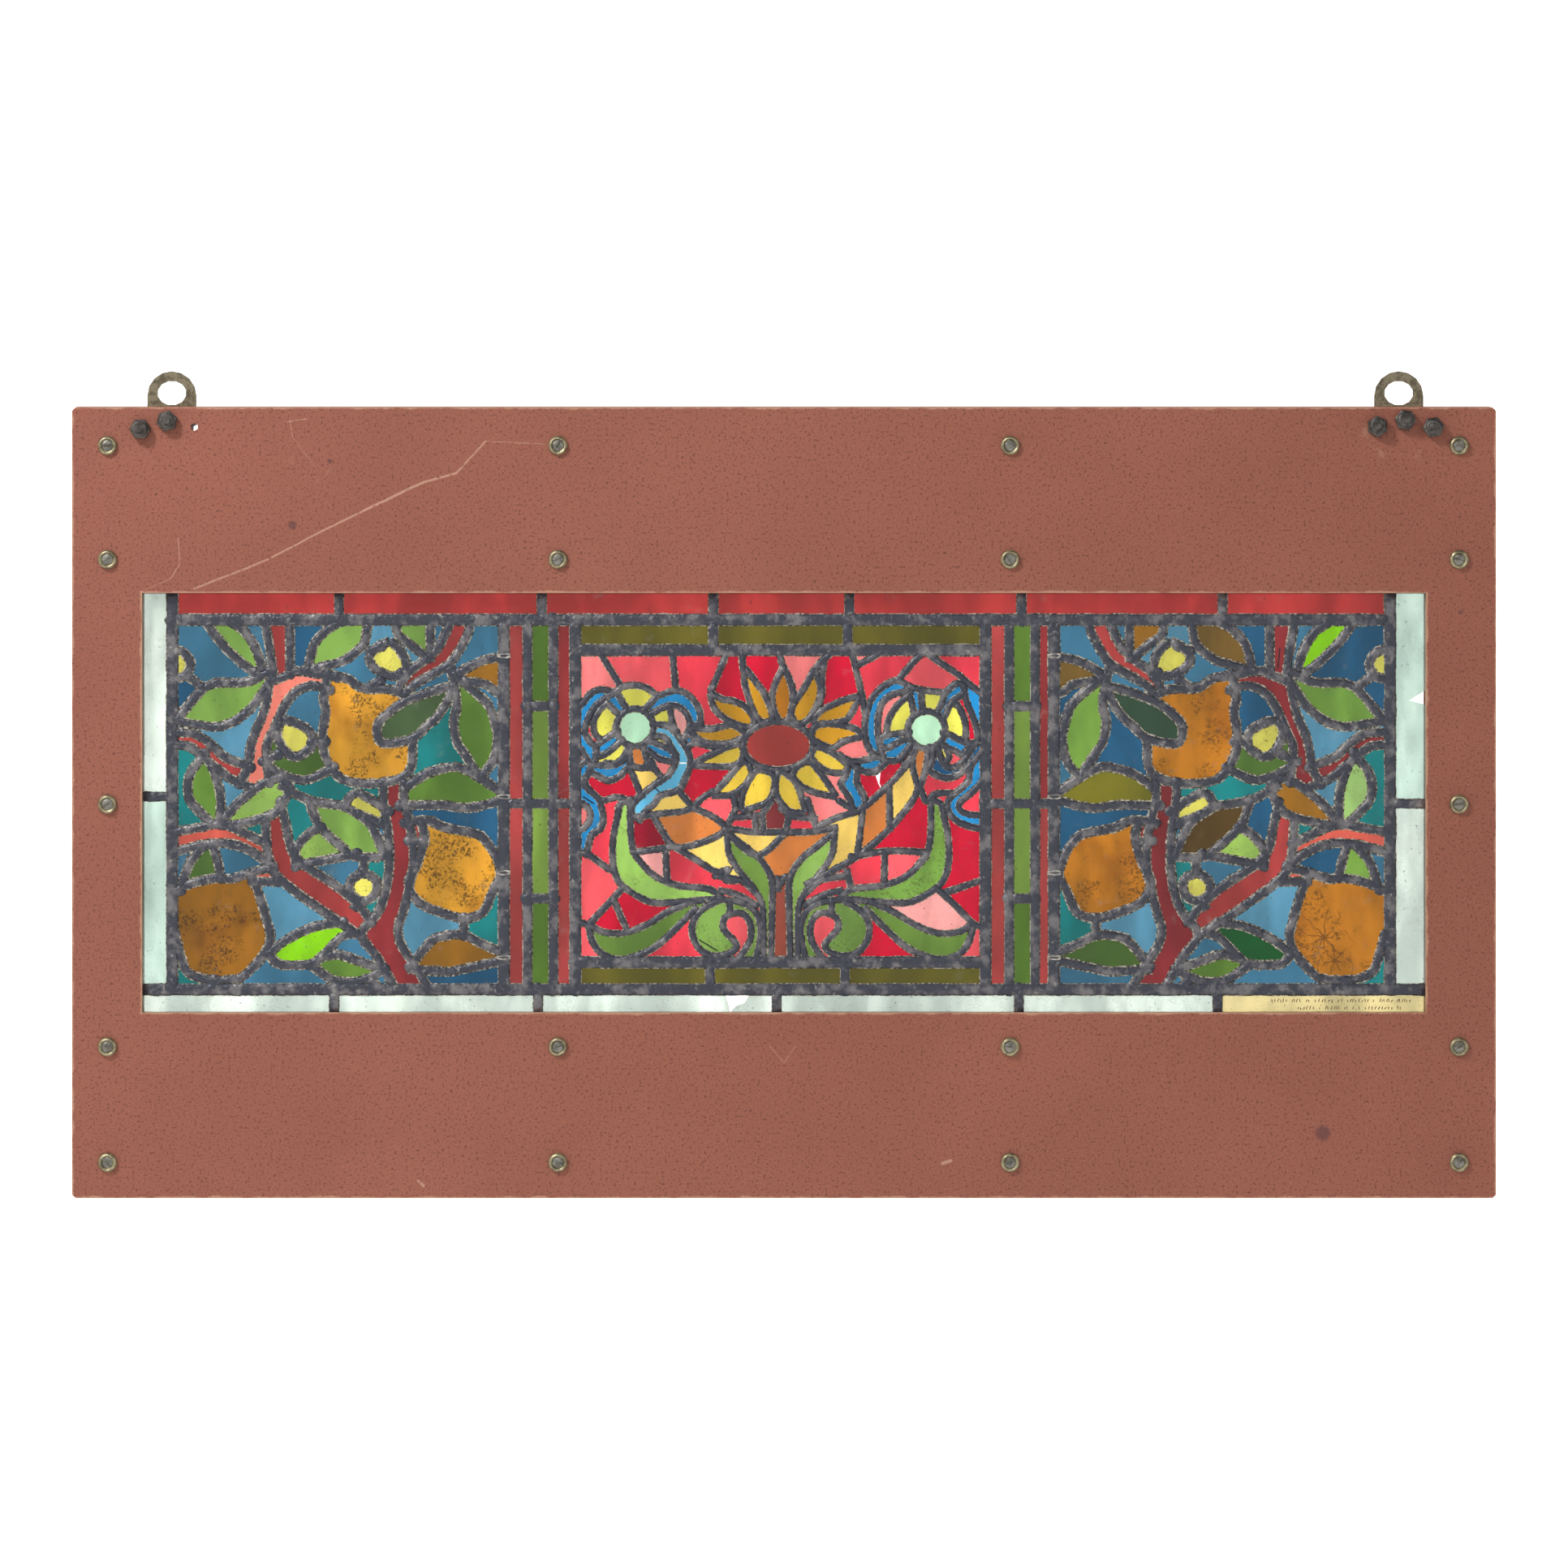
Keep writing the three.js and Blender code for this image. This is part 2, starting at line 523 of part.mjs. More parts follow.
function borderGlass() {
  const rimX = SIGHT_W / 2 + HEART_W / 2;
  const rimZ = SIGHT_H / 2 + HEART_W / 2;
  strips('border_glass_top', [LEFT_BAR, ...TOP_JOINTS, RIGHT_BAR],
    (x0, x1) => pane(x0, x1, TOP_BAR, rimZ), LOOKS.rust);
  strips('border_glass_bottom', [-rimX, ...BOTTOM_JOINTS, rimX],
    (x0, x1) => pane(x0, x1, -rimZ, BOTTOM_BAR), LOOKS.pale);
  strips('border_glass_left', [BOTTOM_BAR, SIDE_JOINTS[0], rimZ],
    (z0, z1) => pane(-rimX, LEFT_BAR, z0, z1), LOOKS.pale);
  strips('border_glass_right', [BOTTOM_BAR, SIDE_JOINTS[1], rimZ],
    (z0, z1) => pane(RIGHT_BAR, rimX, z0, z1), LOOKS.pale);
}

function pictureGlass() {
  const faces = [-GLASS_T / 2, GLASS_T / 2];
  const sides = [
    ['left', pane(LEFT_BAR, LEFT_STILE[0], BOTTOM_BAR, TOP_BAR), true],
    ['right', pane(RIGHT_STILE[1], RIGHT_BAR, BOTTOM_BAR, TOP_BAR), false],
  ];
  for (const [side, sheet, left] of sides) {
    const outlines = FRUITS.map((list) => sideOf(pairs(list), left));
    const turn = (outline) => (THREE.ShapeUtils.area(outline.map(([x, y]) => ({ x, y }))) > 0
      ? outline : [...outline].reverse());
    const whole = outlines.map((outline) => plate(turn(outline), faces[0] - 1, faces[1] + 1));
    addPiece(`picture_glass_${side}`, cut(sheet, whole), LOOKS.blue);
    outlines.forEach((outline, i) => {
      const fruit = plate(offset(turn(outline), GAP, true), ...faces);
      addPiece(`fruit_glass_${side}_${i + 1}`, fruit, LOOKS.amber);
    });
  }
  const [x, z, a, b] = HEART;
  const heart = ellipse([x, z], [a, b], 14);
  const centre = pane(LEFT_STILE[1], RIGHT_STILE[0], CENTRE_BOTTOM_BAR, CENTRE_TOP_BAR);
  const hole = plate(heart, faces[0] - 1, faces[1] + 1);
  addPiece('picture_glass_centre', centre.subtract(hole), LOOKS.red);
  addPiece('sunflower_heart_glass', plate(offset(heart, GAP, true), ...faces), LOOKS.heart);
}

function stileAndBandGlass() {
  addPiece('stile_glass_left', pane(...LEFT_STILE, BOTTOM_BAR, TOP_BAR), LOOKS.stile);
  addPiece('stile_glass_right', pane(...RIGHT_STILE, BOTTOM_BAR, TOP_BAR), LOOKS.stile);
  const inner = [LEFT_STILE[1], RIGHT_STILE[0]];
  addPiece('band_glass_top', pane(...inner, CENTRE_TOP_BAR, TOP_BAR), LOOKS.olive);
  addPiece('band_glass_bottom', pane(...inner, BOTTOM_BAR, CENTRE_BOTTOM_BAR), LOOKS.olive);
}

// --------------------------------------------------------------------- build

boards();
screws();
bolts();
eyes();
leading();
borderGlass();
pictureGlass();
stileAndBandGlass();

const middleX = (EYE_CENTRES[0] + EYE_CENTRES[1]) / 2;
group.position.set(-middleX, -(BACK + EYE_T / 2), -EYE_Z);

export default group;
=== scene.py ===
"""A leaded stained glass window held between hardboard sheets, dressed for rendering.

Lengths are in millimetres about the middle of the window, x to the right and z up,
with y from the panel's mid-plane away from the viewer. place() turns them into metres
in the frame of the CAD model.
"""

import math
import random

import bmesh
import bpy
from mathutils import Matrix, Vector, geometry, noise


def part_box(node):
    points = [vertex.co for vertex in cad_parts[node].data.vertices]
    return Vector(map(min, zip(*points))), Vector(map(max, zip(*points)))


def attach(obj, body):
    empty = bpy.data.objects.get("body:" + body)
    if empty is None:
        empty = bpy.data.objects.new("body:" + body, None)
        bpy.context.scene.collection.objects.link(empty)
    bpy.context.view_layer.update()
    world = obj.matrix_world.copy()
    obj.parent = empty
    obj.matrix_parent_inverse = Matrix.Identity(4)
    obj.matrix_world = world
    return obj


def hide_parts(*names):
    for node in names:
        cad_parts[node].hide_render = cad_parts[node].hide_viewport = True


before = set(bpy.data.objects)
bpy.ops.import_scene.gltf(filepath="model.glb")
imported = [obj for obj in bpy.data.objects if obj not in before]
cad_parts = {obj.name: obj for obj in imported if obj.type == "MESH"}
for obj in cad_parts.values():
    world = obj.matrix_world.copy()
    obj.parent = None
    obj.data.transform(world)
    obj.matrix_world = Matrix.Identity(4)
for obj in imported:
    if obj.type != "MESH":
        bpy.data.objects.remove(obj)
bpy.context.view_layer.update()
random.seed(7)

MM = 0.001
BOARD_DEPTH = 9.0  # the panel's mid-plane behind the front board's face
low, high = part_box("front_board")
MIDDLE = Vector(((low.x + high.x) / 2, low.y + BOARD_DEPTH * MM, (low.z + high.z) / 2))


def place(x, y, z):
    """A point of the window, in metres in the CAD model's frame."""
    return MIDDLE + Vector((x, y, z)) * MM


# ------------------------------------------------------------ named measures

GLASS = 1.5  # half the thickness of the glass
LEAD = 5.7  # width of a curved came's face in the side pictures
FINE_LEAD = 4.3  # and in the centre picture
BAR = 7.6  # width of a straight came's face
THIN_BAR = 6.2
CROWN = 3.1  # height of a came's crown above the mid-plane
HIGHEST = 3.4  # and of the proudest solder
SIGHT_X, SIGHT_Z = 438.6, 143.3  # half the cut-out
TOP_BAR, BOTTOM_BAR = 125.2, -127.8
LEFT_BAR, RIGHT_BAR = -418.6, 414.7
LEFT_STILE, RIGHT_STILE = (-191.7, -142.8), (137.9, 184.7)
CENTRE_TOP, CENTRE_BOTTOM = 104.4, -109.2
TOP_JOINTS = [-304.5, -165.8, -48.3, 44.7, 162.3, 300]
BOTTOM_JOINTS = [-307.8, -168.3, -5, 160.6, 296.7]
LEFT_JOINT, RIGHT_JOINT = 4.2, -0.6
BAND_TOP_JOINTS = [-48.3, 43.6]
BAND_BOTTOM_JOINTS = [-50.6, 41.7]
STILE_ROWS = [66.1, -0.6, -65.6]
STILE_STEPS = [16.2, 33.9]
CRACKED_JOINTS = [100.5, 4, -48, -106]
SIDE_MIRROR = -5.6  # a side picture's x and its mirror image's add up to this
CENTRE_MIRROR = -4.5
BOARD_X, BOARD_Z = 486.35, 270.15  # half the front board
SIDE_RUN_ON = 1.8  # how far an open came runs on under those it meets
CENTRE_RUN_ON = 1.2
HIDDEN = 0.3  # how far a pane's colour runs on under its cames
WANDER = 2.5  # how far a scratch strays from its line
RAGGED = 5.0  # how uneven a worn edge is
LEFT_PICTURE = (LEFT_BAR, LEFT_STILE[0], BOTTOM_BAR, TOP_BAR)
RIGHT_PICTURE = (RIGHT_STILE[1], RIGHT_BAR, BOTTOM_BAR, TOP_BAR)
CENTRE_PICTURE = (LEFT_STILE[1], RIGHT_STILE[0], CENTRE_BOTTOM, CENTRE_TOP)
PICTURES = (LEFT_PICTURE, RIGHT_PICTURE, CENTRE_PICTURE)

# ------------------------------------------------------------------- colours


def srgb(red, green, blue):
    """An sRGB colour of 0 to 255 as linear values."""
    parts = [v / 255 for v in (red, green, blue)]
    return tuple(v / 12.92 if v <= 0.04045 else ((v + 0.055) / 1.055) ** 2.4 for v in parts)


PAINTS = {
    "blue": (58, 116, 145), "light_blue": (85, 145, 172), "deep_blue": (25, 84, 118),
    "teal": (10, 125, 125), "green": (128, 170, 75), "light_green": (155, 195, 90),
    "leaf": (115, 158, 62), "olive": (92, 130, 45), "dark_leaf": (72, 98, 58),
    "mid_leaf": (75, 108, 42), "lime": (140, 215, 0), "amber": (218, 158, 42),
    "brown_amber": (148, 98, 18), "gold": (150, 102, 18), "bud": (218, 213, 95),
    "twig": (160, 56, 54), "trunk": (138, 42, 46), "salmon": (235, 130, 112),
    "coral": (208, 92, 76), "red": (225, 58, 75), "rose": (240, 90, 98),
    "crimson": (200, 0, 45), "dark_crimson": (148, 0, 35), "pink": (245, 130, 128),
    "pale_pink": (240, 165, 160), "mint": (205, 255, 215), "petal": (232, 228, 92),
    "ribbon": (25, 138, 198), "pale_ribbon": (95, 180, 215), "amber_petal": (205, 150, 25),
    "dark_petal": (190, 120, 15), "yellow_petal": (232, 200, 65), "heart": (175, 62, 56),
    "orange": (208, 125, 58), "straw": (245, 210, 105), "scroll": (148, 192, 90),
    "scroll_right": (120, 165, 68), "long_leaf": (112, 150, 62), "low_leaf": (98, 132, 52),
    "volute": (125, 165, 75), "pentagon": (130, 45, 48), "stem": (150, 72, 55),
    "top_red": (185, 55, 52), "pale": (205, 232, 218), "paler": (222, 238, 226),
    "signed": (228, 215, 155), "stile_red": (148, 46, 48), "stile_coral": (166, 62, 60),
    "umber": (115, 88, 32), "night_leaf": (45, 72, 52), "khaki": (112, 108, 20),
    "pale_leaf": (160, 200, 115), "brown_leaf": (78, 58, 18), "dark_emerald": (12, 92, 38),
    "orchard": (180, 115, 20), "deep_ribbon": (18, 85, 130),
    "stile_green": (86, 122, 38), "stile_light": (122, 155, 62), "band": (98, 92, 22),
}

# How speckled and stained a pane is, from 0 to 1
AGED = {
    "amber": 1.0, "orchard": 0.85, "brown_amber": 1.0, "scroll_right": 0.6, "pale_leaf": 0.6,
    "volute": 0.45, "scroll": 0.35, "light_green": 0.35, "ribbon": 0.4, "bud": 0.3,
}
NEARLY_NEW = 0.12

# ------------------------------------------------------- the drawing in lead
# Middle lines of the cames, flat lists of x, z. The right side picture is the
# left one mirrored, and most of the centre picture is its left half mirrored.

SIDE_CAMES = {
    "leaf_a": [
        [-396, 124, -384, 108, -371, 95.5, -362, 89],
        [-377, 123, -370, 118, -364, 110, -360, 102, -357, 92],
    ],
    "stem_1": [[-355, 124, -351, 100, -349, 84], [-338, 124, -338, 88]],
    "bud_a": [[-419, 105, -411, 103, -406, 95, -410, 87, -419, 84], [-408, 87, -398, 79]],
    "leaf_b": [
        [-416, 56, -404, 71, -397, 78, -388, 82, -368, 82.5, -352, 90],
        [-416, 56, -392, 52, -380, 54, -370, 60, -361, 69, -350, 86],
    ],
    "branch": [
        [-350, 83, -340, 87, -333, 90, -318, 88, -306, 86],
        [-311, 77, -320, 80, -328, 79, -336, 74, -343, 64, -350, 48, -354, 37, -352, 14],
        [-352, 82, -356, 62, -364, 42, -367, 24, -373, 13],
    ],
    "leaf_c": [
        [-303, 124, -310, 120, -317, 114, -322, 107, -326, 91],
        [-284, 125, -285.5, 117, -288, 108, -300, 98, -312, 94, -328, 90],
    ],
    "bud_1": [[-284, 104, -275, 107], [-262, 89, -258, 85]],
    "leaf_d": [[-266, 124, -264, 115, -258, 110, -244, 99], [-242, 124, -242, 98]],
    "branch_2": [
        [-228, 124, -236, 107, -243, 100, -252, 93, -259, 87, -264, 77],
        [-214, 124, -217, 114, -227, 97, -235, 91, -251, 82, -259, 75],
    ],
    "leaf_f": [[-188, 101, -208, 96.5, -222, 89], [-190, 74, -197, 76, -204, 81, -218, 83]],
    "over_fruit": [[-308, 87, -298, 84.5, -292, 80, -285, 78, -270, 77.5, -260, 74]],
    "fruit_1": [
        [-312, 88, -315, 72, -313.5, 62, -316, 45, -313, 30, -302, 16, -280, 13, -262, 17, -255, 25,
         -254, 43],
    ],
    "leaf_e": [
        [-226, 80, -238, 77, -258, 70, -270, 62, -278, 53, -277, 43, -271, 40.5, -254, 44, -245, 52,
         -238, 58, -231, 68, -226, 80],
    ],
    "leaf_g": [
        [-228, 91, -225, 78, -224, 66, -226, 55, -224, 42, -219, 34, -208, 17],
        [-226, 88, -219, 82, -205, 70, -200, 62, -196, 45, -199, 29, -208, 17],
    ],
    "leaf_r": [
        [-257, 12, -243, 20.5, -227, 24.5, -219, 23, -206, 16, -188, 3],
        [-263, -2, -235, -1.5, -215, -3.5, -188, 3],
    ],
    "twig_1": [
        [-418, 48, -405, 47.5, -396, 43, -389, 37, -382, 31, -365, 24],
        [-418, 40, -406, 38, -393, 27.5, -386, 22, -379, 16.5, -364, 10],
    ],
    "leaf_j": [
        [-396, 34, -405, 22, -408, 12, -406.5, 2, -401, -5, -392, -14],
        [-391, 24, -386, 8, -385.5, -9, -388, -16],
    ],
    "leaf_l": [
        [-386, -14, -378, -5, -371, 2, -356, 13.5, -346, 17],
        [-384, -15, -370, -14, -351, -8.5, -345, -3, -338, 10, -344, 18],
    ],
    "bud_2": [[-357, 28, -346, 33], [-323, 41, -314, 42]],
    "leaf_n": [[-352, 24, -343, 19, -335, 16.5, -328, 15.5, -320, 18, -308, 24]],
    "leaf_p": [
        [-344, 12, -330, 4, -322, 1, -310, -1, -300, -3, -286, -12, -281, -18, -273, -36],
        [-325, 2, -322, -7, -317, -17, -303, -30, -293, -37, -270, -37],
    ],
    "bud_3": [[-300, -2, -297, 4, -291, 6.5, -279, 0, -270, -6], [-291, -8, -276, -14]],
    "leaf_q": [[-317, -17, -325, -21, -334, -32, -334, -44], [-334, -43, -312, -39, -292, -35]],
    "trunk": [
        [-274, 14, -274, 0, -271, -20, -270, -39, -272, -58, -278, -75, -289, -90, -279, -105,
         -266, -127],
        [-260, 14, -260, 2, -255, -20, -253.5, -40, -256.5, -58, -261, -76, -264, -86, -262, -97,
         -253, -111, -243, -127],
    ],
    "fruit_2": [
        [-260, -14, -244, -12, -232, -17, -212, -21, -205, -25, -197, -37, -194, -50, -199, -60,
         -206, -75, -219, -79, -235, -75, -250, -68, -257, -55, -251, -42, -246, -25, -248, -14],
        [-257, -26, -247, -27],
    ],
    "twig_2": [
        [-418, -20, -400, -17, -390, -15, -380, -16, -354, -28],
        [-418, -34, -397, -28.5, -380, -28, -365, -33, -350, -43],
    ],
    "stem_3": [
        [-344.5, 1, -341, -14, -336.5, -33, -327, -43.5, -309, -55, -292, -69, -282, -82],
        [-355, -12, -353, -36, -348, -49, -334, -61, -317, -73, -290, -91],
    ],
    "leaf_u": [[-398, -30, -407, -42, -413, -60], [-391, -29, -388, -38, -385, -52]],
    "fruit_3": [
        [-418, -61, -405, -55, -388, -51.5, -378, -52, -362, -47, -348, -44],
        [-366, -48, -362, -55, -358, -66, -354, -80, -351.5, -92, -356, -104, -369, -118, -377, -121,
         -395, -121, -408, -116, -412, -107, -417, -90],
        [-364, -54, -346, -54], [-390, -121, -390, -128],
    ],
    "leaf_x": [
        [-353, -103, -338, -92.5, -320, -84.5, -302, -82],
        [-353, -103, -345, -110.5, -325, -110.5, -317, -106, -303, -92, -292, -89],
    ],
    "bud_4": [[-288, -47, -287, -37], [-291, -67, -294, -72]],
    "leaf_bb": [
        [-317, -106, -304, -104, -288, -109.5, -273, -114],
        [-324, -111, -314, -118, -306, -122, -290, -122, -273, -114],
    ],
    "leaf_ee": [
        [-256, -112, -243, -96.5, -236, -92, -220, -90.5, -205, -97.5, -188, -104],
        [-256, -114, -230, -115.5, -218, -113.5, -188, -107],
    ],
    "short_links": [[-219, -79, -219, -91], [-282, -122, -276, -127], [-285, 78, -276, 84]],
}
SIDE_RINGS = {
    "bud_1": [-270, 110, -260, 100, -259, 88, -270, 87, -281, 93, -283, 102],
    "bud_2": [-343, 56, -333, 54, -324, 48, -323, 39, -333, 31.5, -341, 35, -347, 47],
    "bud_4": [-288, -48.5, -280, -52, -278.5, -58, -281, -64, -288, -67.5, -295, -64, -297.5, -58,
              -295, -52],
}

SIDE_GLASS = {
    "blue": [(-405, 115), (-355, 108), (-292, 92), (-327, 66), (-235, 117), (-253, 100),
             (-206, 110), (-199, 67), (-206, 77), (-198, 22), (-411, -43),
             (-374, -41), (-307, -48), (-292, -100), (-345, -118), (-276, -121)],
    "light_blue": [(-375, 45), (-381, 3), (-330, -76), (-245, -85), (-268, 117)],
    "deep_blue": [(-322, 117), (-225, -11), (-409, 76), (-215, -119)],
    "teal": [(-235, 40), (-411, 32), (-408, 5), (-404, -13), (-325, 11), (-302, 8), (-280, 7),
             (-330, -7), (-361, -18), (-276, -46), (-279, -70), (-205, -85), (-412, -119)],
    "green": [(-375, 113), (-302, 110), (-256, 114), (-382, 68), (-294, -20)],
    "light_green": [(-360, 0), (-320, -33)],
    "olive": [(-212, 55), (-228, 91), (-230, 10), (-396, 5), (-305, -113)],
    "mid_leaf": [(-330, 25), (-400, -44)],
    "dark_leaf": [(-250, 61)],
    "lime": [(-325, -98)],
    "amber": [(-290, 50), (-225, -50)],
    "brown_amber": [(-385, -90)],
    "gold": [(-202, 88), (-230, -103)],
    "bud": [(-271, 98), (-414, 95), (-334, 44), (-286, -3), (-288, -58)],
    "twig": [(-345, 108), (-243, 92), (-222, 117), (-399, 40), (-376, 22), (-347, -25),
             (-325, -55), (-295, -79), (-252, -20)],
    "trunk": [(-267, 0), (-263, -40), (-276, -93), (-257, -120)],
    "salmon": [(-330, 84.5), (-349, 66), (-359, 32)],
    "coral": [(-388, -22.5), (-356, -50)],
}
# Panes of the right side picture that differ from the left one's, by their mirrored place
RIGHT_GLASS = {
    "lime": [(-375, 113)], "gold": [(-256, 114), (-360, 0)], "umber": [(-302, 110), (-202, 88)],
    "trunk": [(-345, 108), (-399, 40), (-376, 22), (-330, 84.5), (-349, 66), (-359, 32)],
    "leaf": [(-212, 55), (-382, 68), (-400, -44)], "night_leaf": [(-250, 61)], "khaki": [(-230, 10)],
    "pale_leaf": [(-396, 5)], "brown_leaf": [(-294, -20)],
    "dark_emerald": [(-325, -98)], "mid_leaf": [(-230, -103)],
    "orchard": [(-385, -90), (-290, 50), (-225, -50)],
    "deep_blue": [(-322, 117), (-327, 66), (-235, 40), (-330, -7), (-215, -11), (-374, -41),
                  (-199, 67), (-405, 115), (-409, 76)],
    "twig": [(-325, -55), (-347, -25), (-295, -79)], "blue": [(-215, -119)],
}

HALF_CAMES = {
    "scroll": [
        [-105, 2, -112, -1, -114, -10, -117, -25, -117, -42, -113, -54, -105, -61, -96, -66,
         -88, -68.5, -72, -68, -43, -65.5],
        [-105, 1, -105, -18, -103, -33, -97, -42, -90, -49, -82, -53.5, -70, -57, -52, -59, -43, -64],
    ],
    "low_leaf": [
        [-132, -84, -125, -88, -115, -89.5, -105, -88, -92, -82.5, -80, -75, -64, -68],
        [-134, -84, -131, -95, -125, -103, -115, -107, -105, -106, -90, -100, -78, -90, -60, -72],
    ],
    "volute": [
        [-43, -66, -57, -74, -63, -85, -60, -97, -52, -104, -42, -104.5, -34, -101, -33, -96,
         -41, -87, -41, -80, -36, -76, -28, -76, -23, -83, -23, -93, -27, -101, -32, -108],
        [-37, -67, -37, -76],
        [-45, -66, -30, -68, -20, -74, -16, -85, -17, -97, -20, -110],
    ],
    "long_leaf": [
        [-39, -20, -38, -33, -34, -42, -28, -50, -20, -60, -15, -70, -14, -86, -14, -110],
        [-39, -20, -27, -30, -18, -37, -11, -46, -8, -55, -8, -70, -9, -110],
    ],
    "collar": [
        [-47, -50, -30, -53, -20, -61], [-44, -60, -32, -63, -19, -70],
    ],
}
LEFT_CAMES = {
    "rays": [
        [-127, 106, -111.5, 79.5], [-76.5, 106, -74, 77],
        [-38, 106, -45, 88, -50, 77], [-29, 106, -28, 91], [-4, 106, 0, 91],
        [-142, -33, -133, -36, -122, -44, -116, -47],
        [-110, -58, -122, -71, -134, -84], [-116, -68, -107, -88], [-143, -81, -132, -84],
        [-103, -34, -88, -32, -76, -30], [-81, -33, -80, -53],
    ],
    "rosette_outside": [
        [-145, 61, -138, 68, -132, 75, -125, 77.5, -116, 76, -110, 79.5, -101, 80.3, -93, 78,
         -86.5, 73.5, -80, 75.5, -73, 77, -66, 74, -61, 69, -57.5, 62, -57, 54],
        [-118, 74.5, -128, 67, -133.5, 58.5, -136.3, 49, -133, 42.5, -129, 38, -128, 33],
        [-144, 39, -139, 36.5, -135.5, 31, -132, 26.5, -129, 30],
    ],
    "rosette": [
        [-115, 76, -107, 63.5], [-86.5, 73.5, -96, 63],
        [-121, 68, -113.5, 60.5], [-121, 68.5, -127, 62.5, -130.3, 55, -129.3, 47, -126, 43.5],
        [-128.5, 39.5, -124, 42.5, -118, 46.5, -113.5, 49],
        [-130, 31.5, -124, 32.5, -119, 35.5, -113, 41, -110.5, 43],
        [-122, 27, -115, 27, -110, 31, -107, 36, -106, 40],
        [-132, 26.5, -126, 25.8, -120, 25.5, -113, 27, -108, 30.5],
        [-133.5, 22, -126, 17.5, -120, 15, -114, 17, -109, 21.5, -106, 25],
        [-105.5, 40, -105.5, 30, -103.5, 25], [-96.5, 39.5, -95, 33, -92, 26],
        [-106, 25, -98, 23.8, -92, 24, -88.5, 23, -84, 17.5],
        [-106, 24, -102.5, 17, -99.5, 9, -97, 5],
        [-93, 36, -86, 30.5, -79, 28.5, -74.5, 29],
        [-91.5, 42.5, -86, 40, -79, 37, -73.5, 32.5],
        [-93.5, 59.5, -86, 63.5, -79, 66.3, -73.5, 66.2, -68.5, 63, -65, 57, -64.5, 52, -66.5, 47,
         -69, 43],
        [-78, 66, -77.3, 60, -76.3, 54, -73.5, 48.5], [-64.5, 53, -57, 53],
        [-94, 26, -91, 29, -88.5, 23],
    ],
    "bowl": [
        [-138, 13, -128, 4, -124, 1.5, -116, 3.5, -110, 3, -104, -1, -100, 4],
    ],
    "edge_ribbon": [
        [-132, 26.5, -133.5, 20.5, -136.2, 15, -134, 9.5, -129, 5, -126, 1, -124.5, -5,
         -123.5, -12, -126, -18, -132, -23, -135, -36],
        [-144, 0.5, -137, -1, -133, -6, -133, -12, -138, -18, -144, -19],
        [-139, 26, -136, 29],
    ],
    "long_ribbon": [
        [-90, 53.7, -81, 53, -75.5, 49.5, -70.5, 43, -66, 36, -64, 30, -64.5, 24, -67, 18,
         -69.5, 12, -72, 8.5, -79, 6.5, -85, 4.5, -89, -1, -94, -5, -99, -12],
        [-91, 45, -86, 45.5, -81.5, 44.5, -78, 40, -74.3, 32, -74.5, 27, -77.5, 21, -81, 17,
         -88.5, 12.5, -97, 5.5, -104, -2, -104, -9],
        [-65, 46, -61, 44.5], [-67, 38, -61, 40.5, -52, 39, -42, 37.5],
    ],
    "swag": [
        [-102, -10, -88, -8, -70, -6, -62, -4, -54, -7, -45, -12, -38, -19],
        [-72, 8.5, -67, 2, -62, -3.5], [-62, -3.5, -56, 3, -49, 7.5],
        [-90, -8, -83, -20, -75, -30, -62, -29, -48, -24, -40, -19],
        [-75, -30, -60, -39, -47, -47, -38, -46],
        [-34, 3, -33.5, -5, -38, -14],
        [-38, -45, -40, -53, -30, -53],
    ],
}
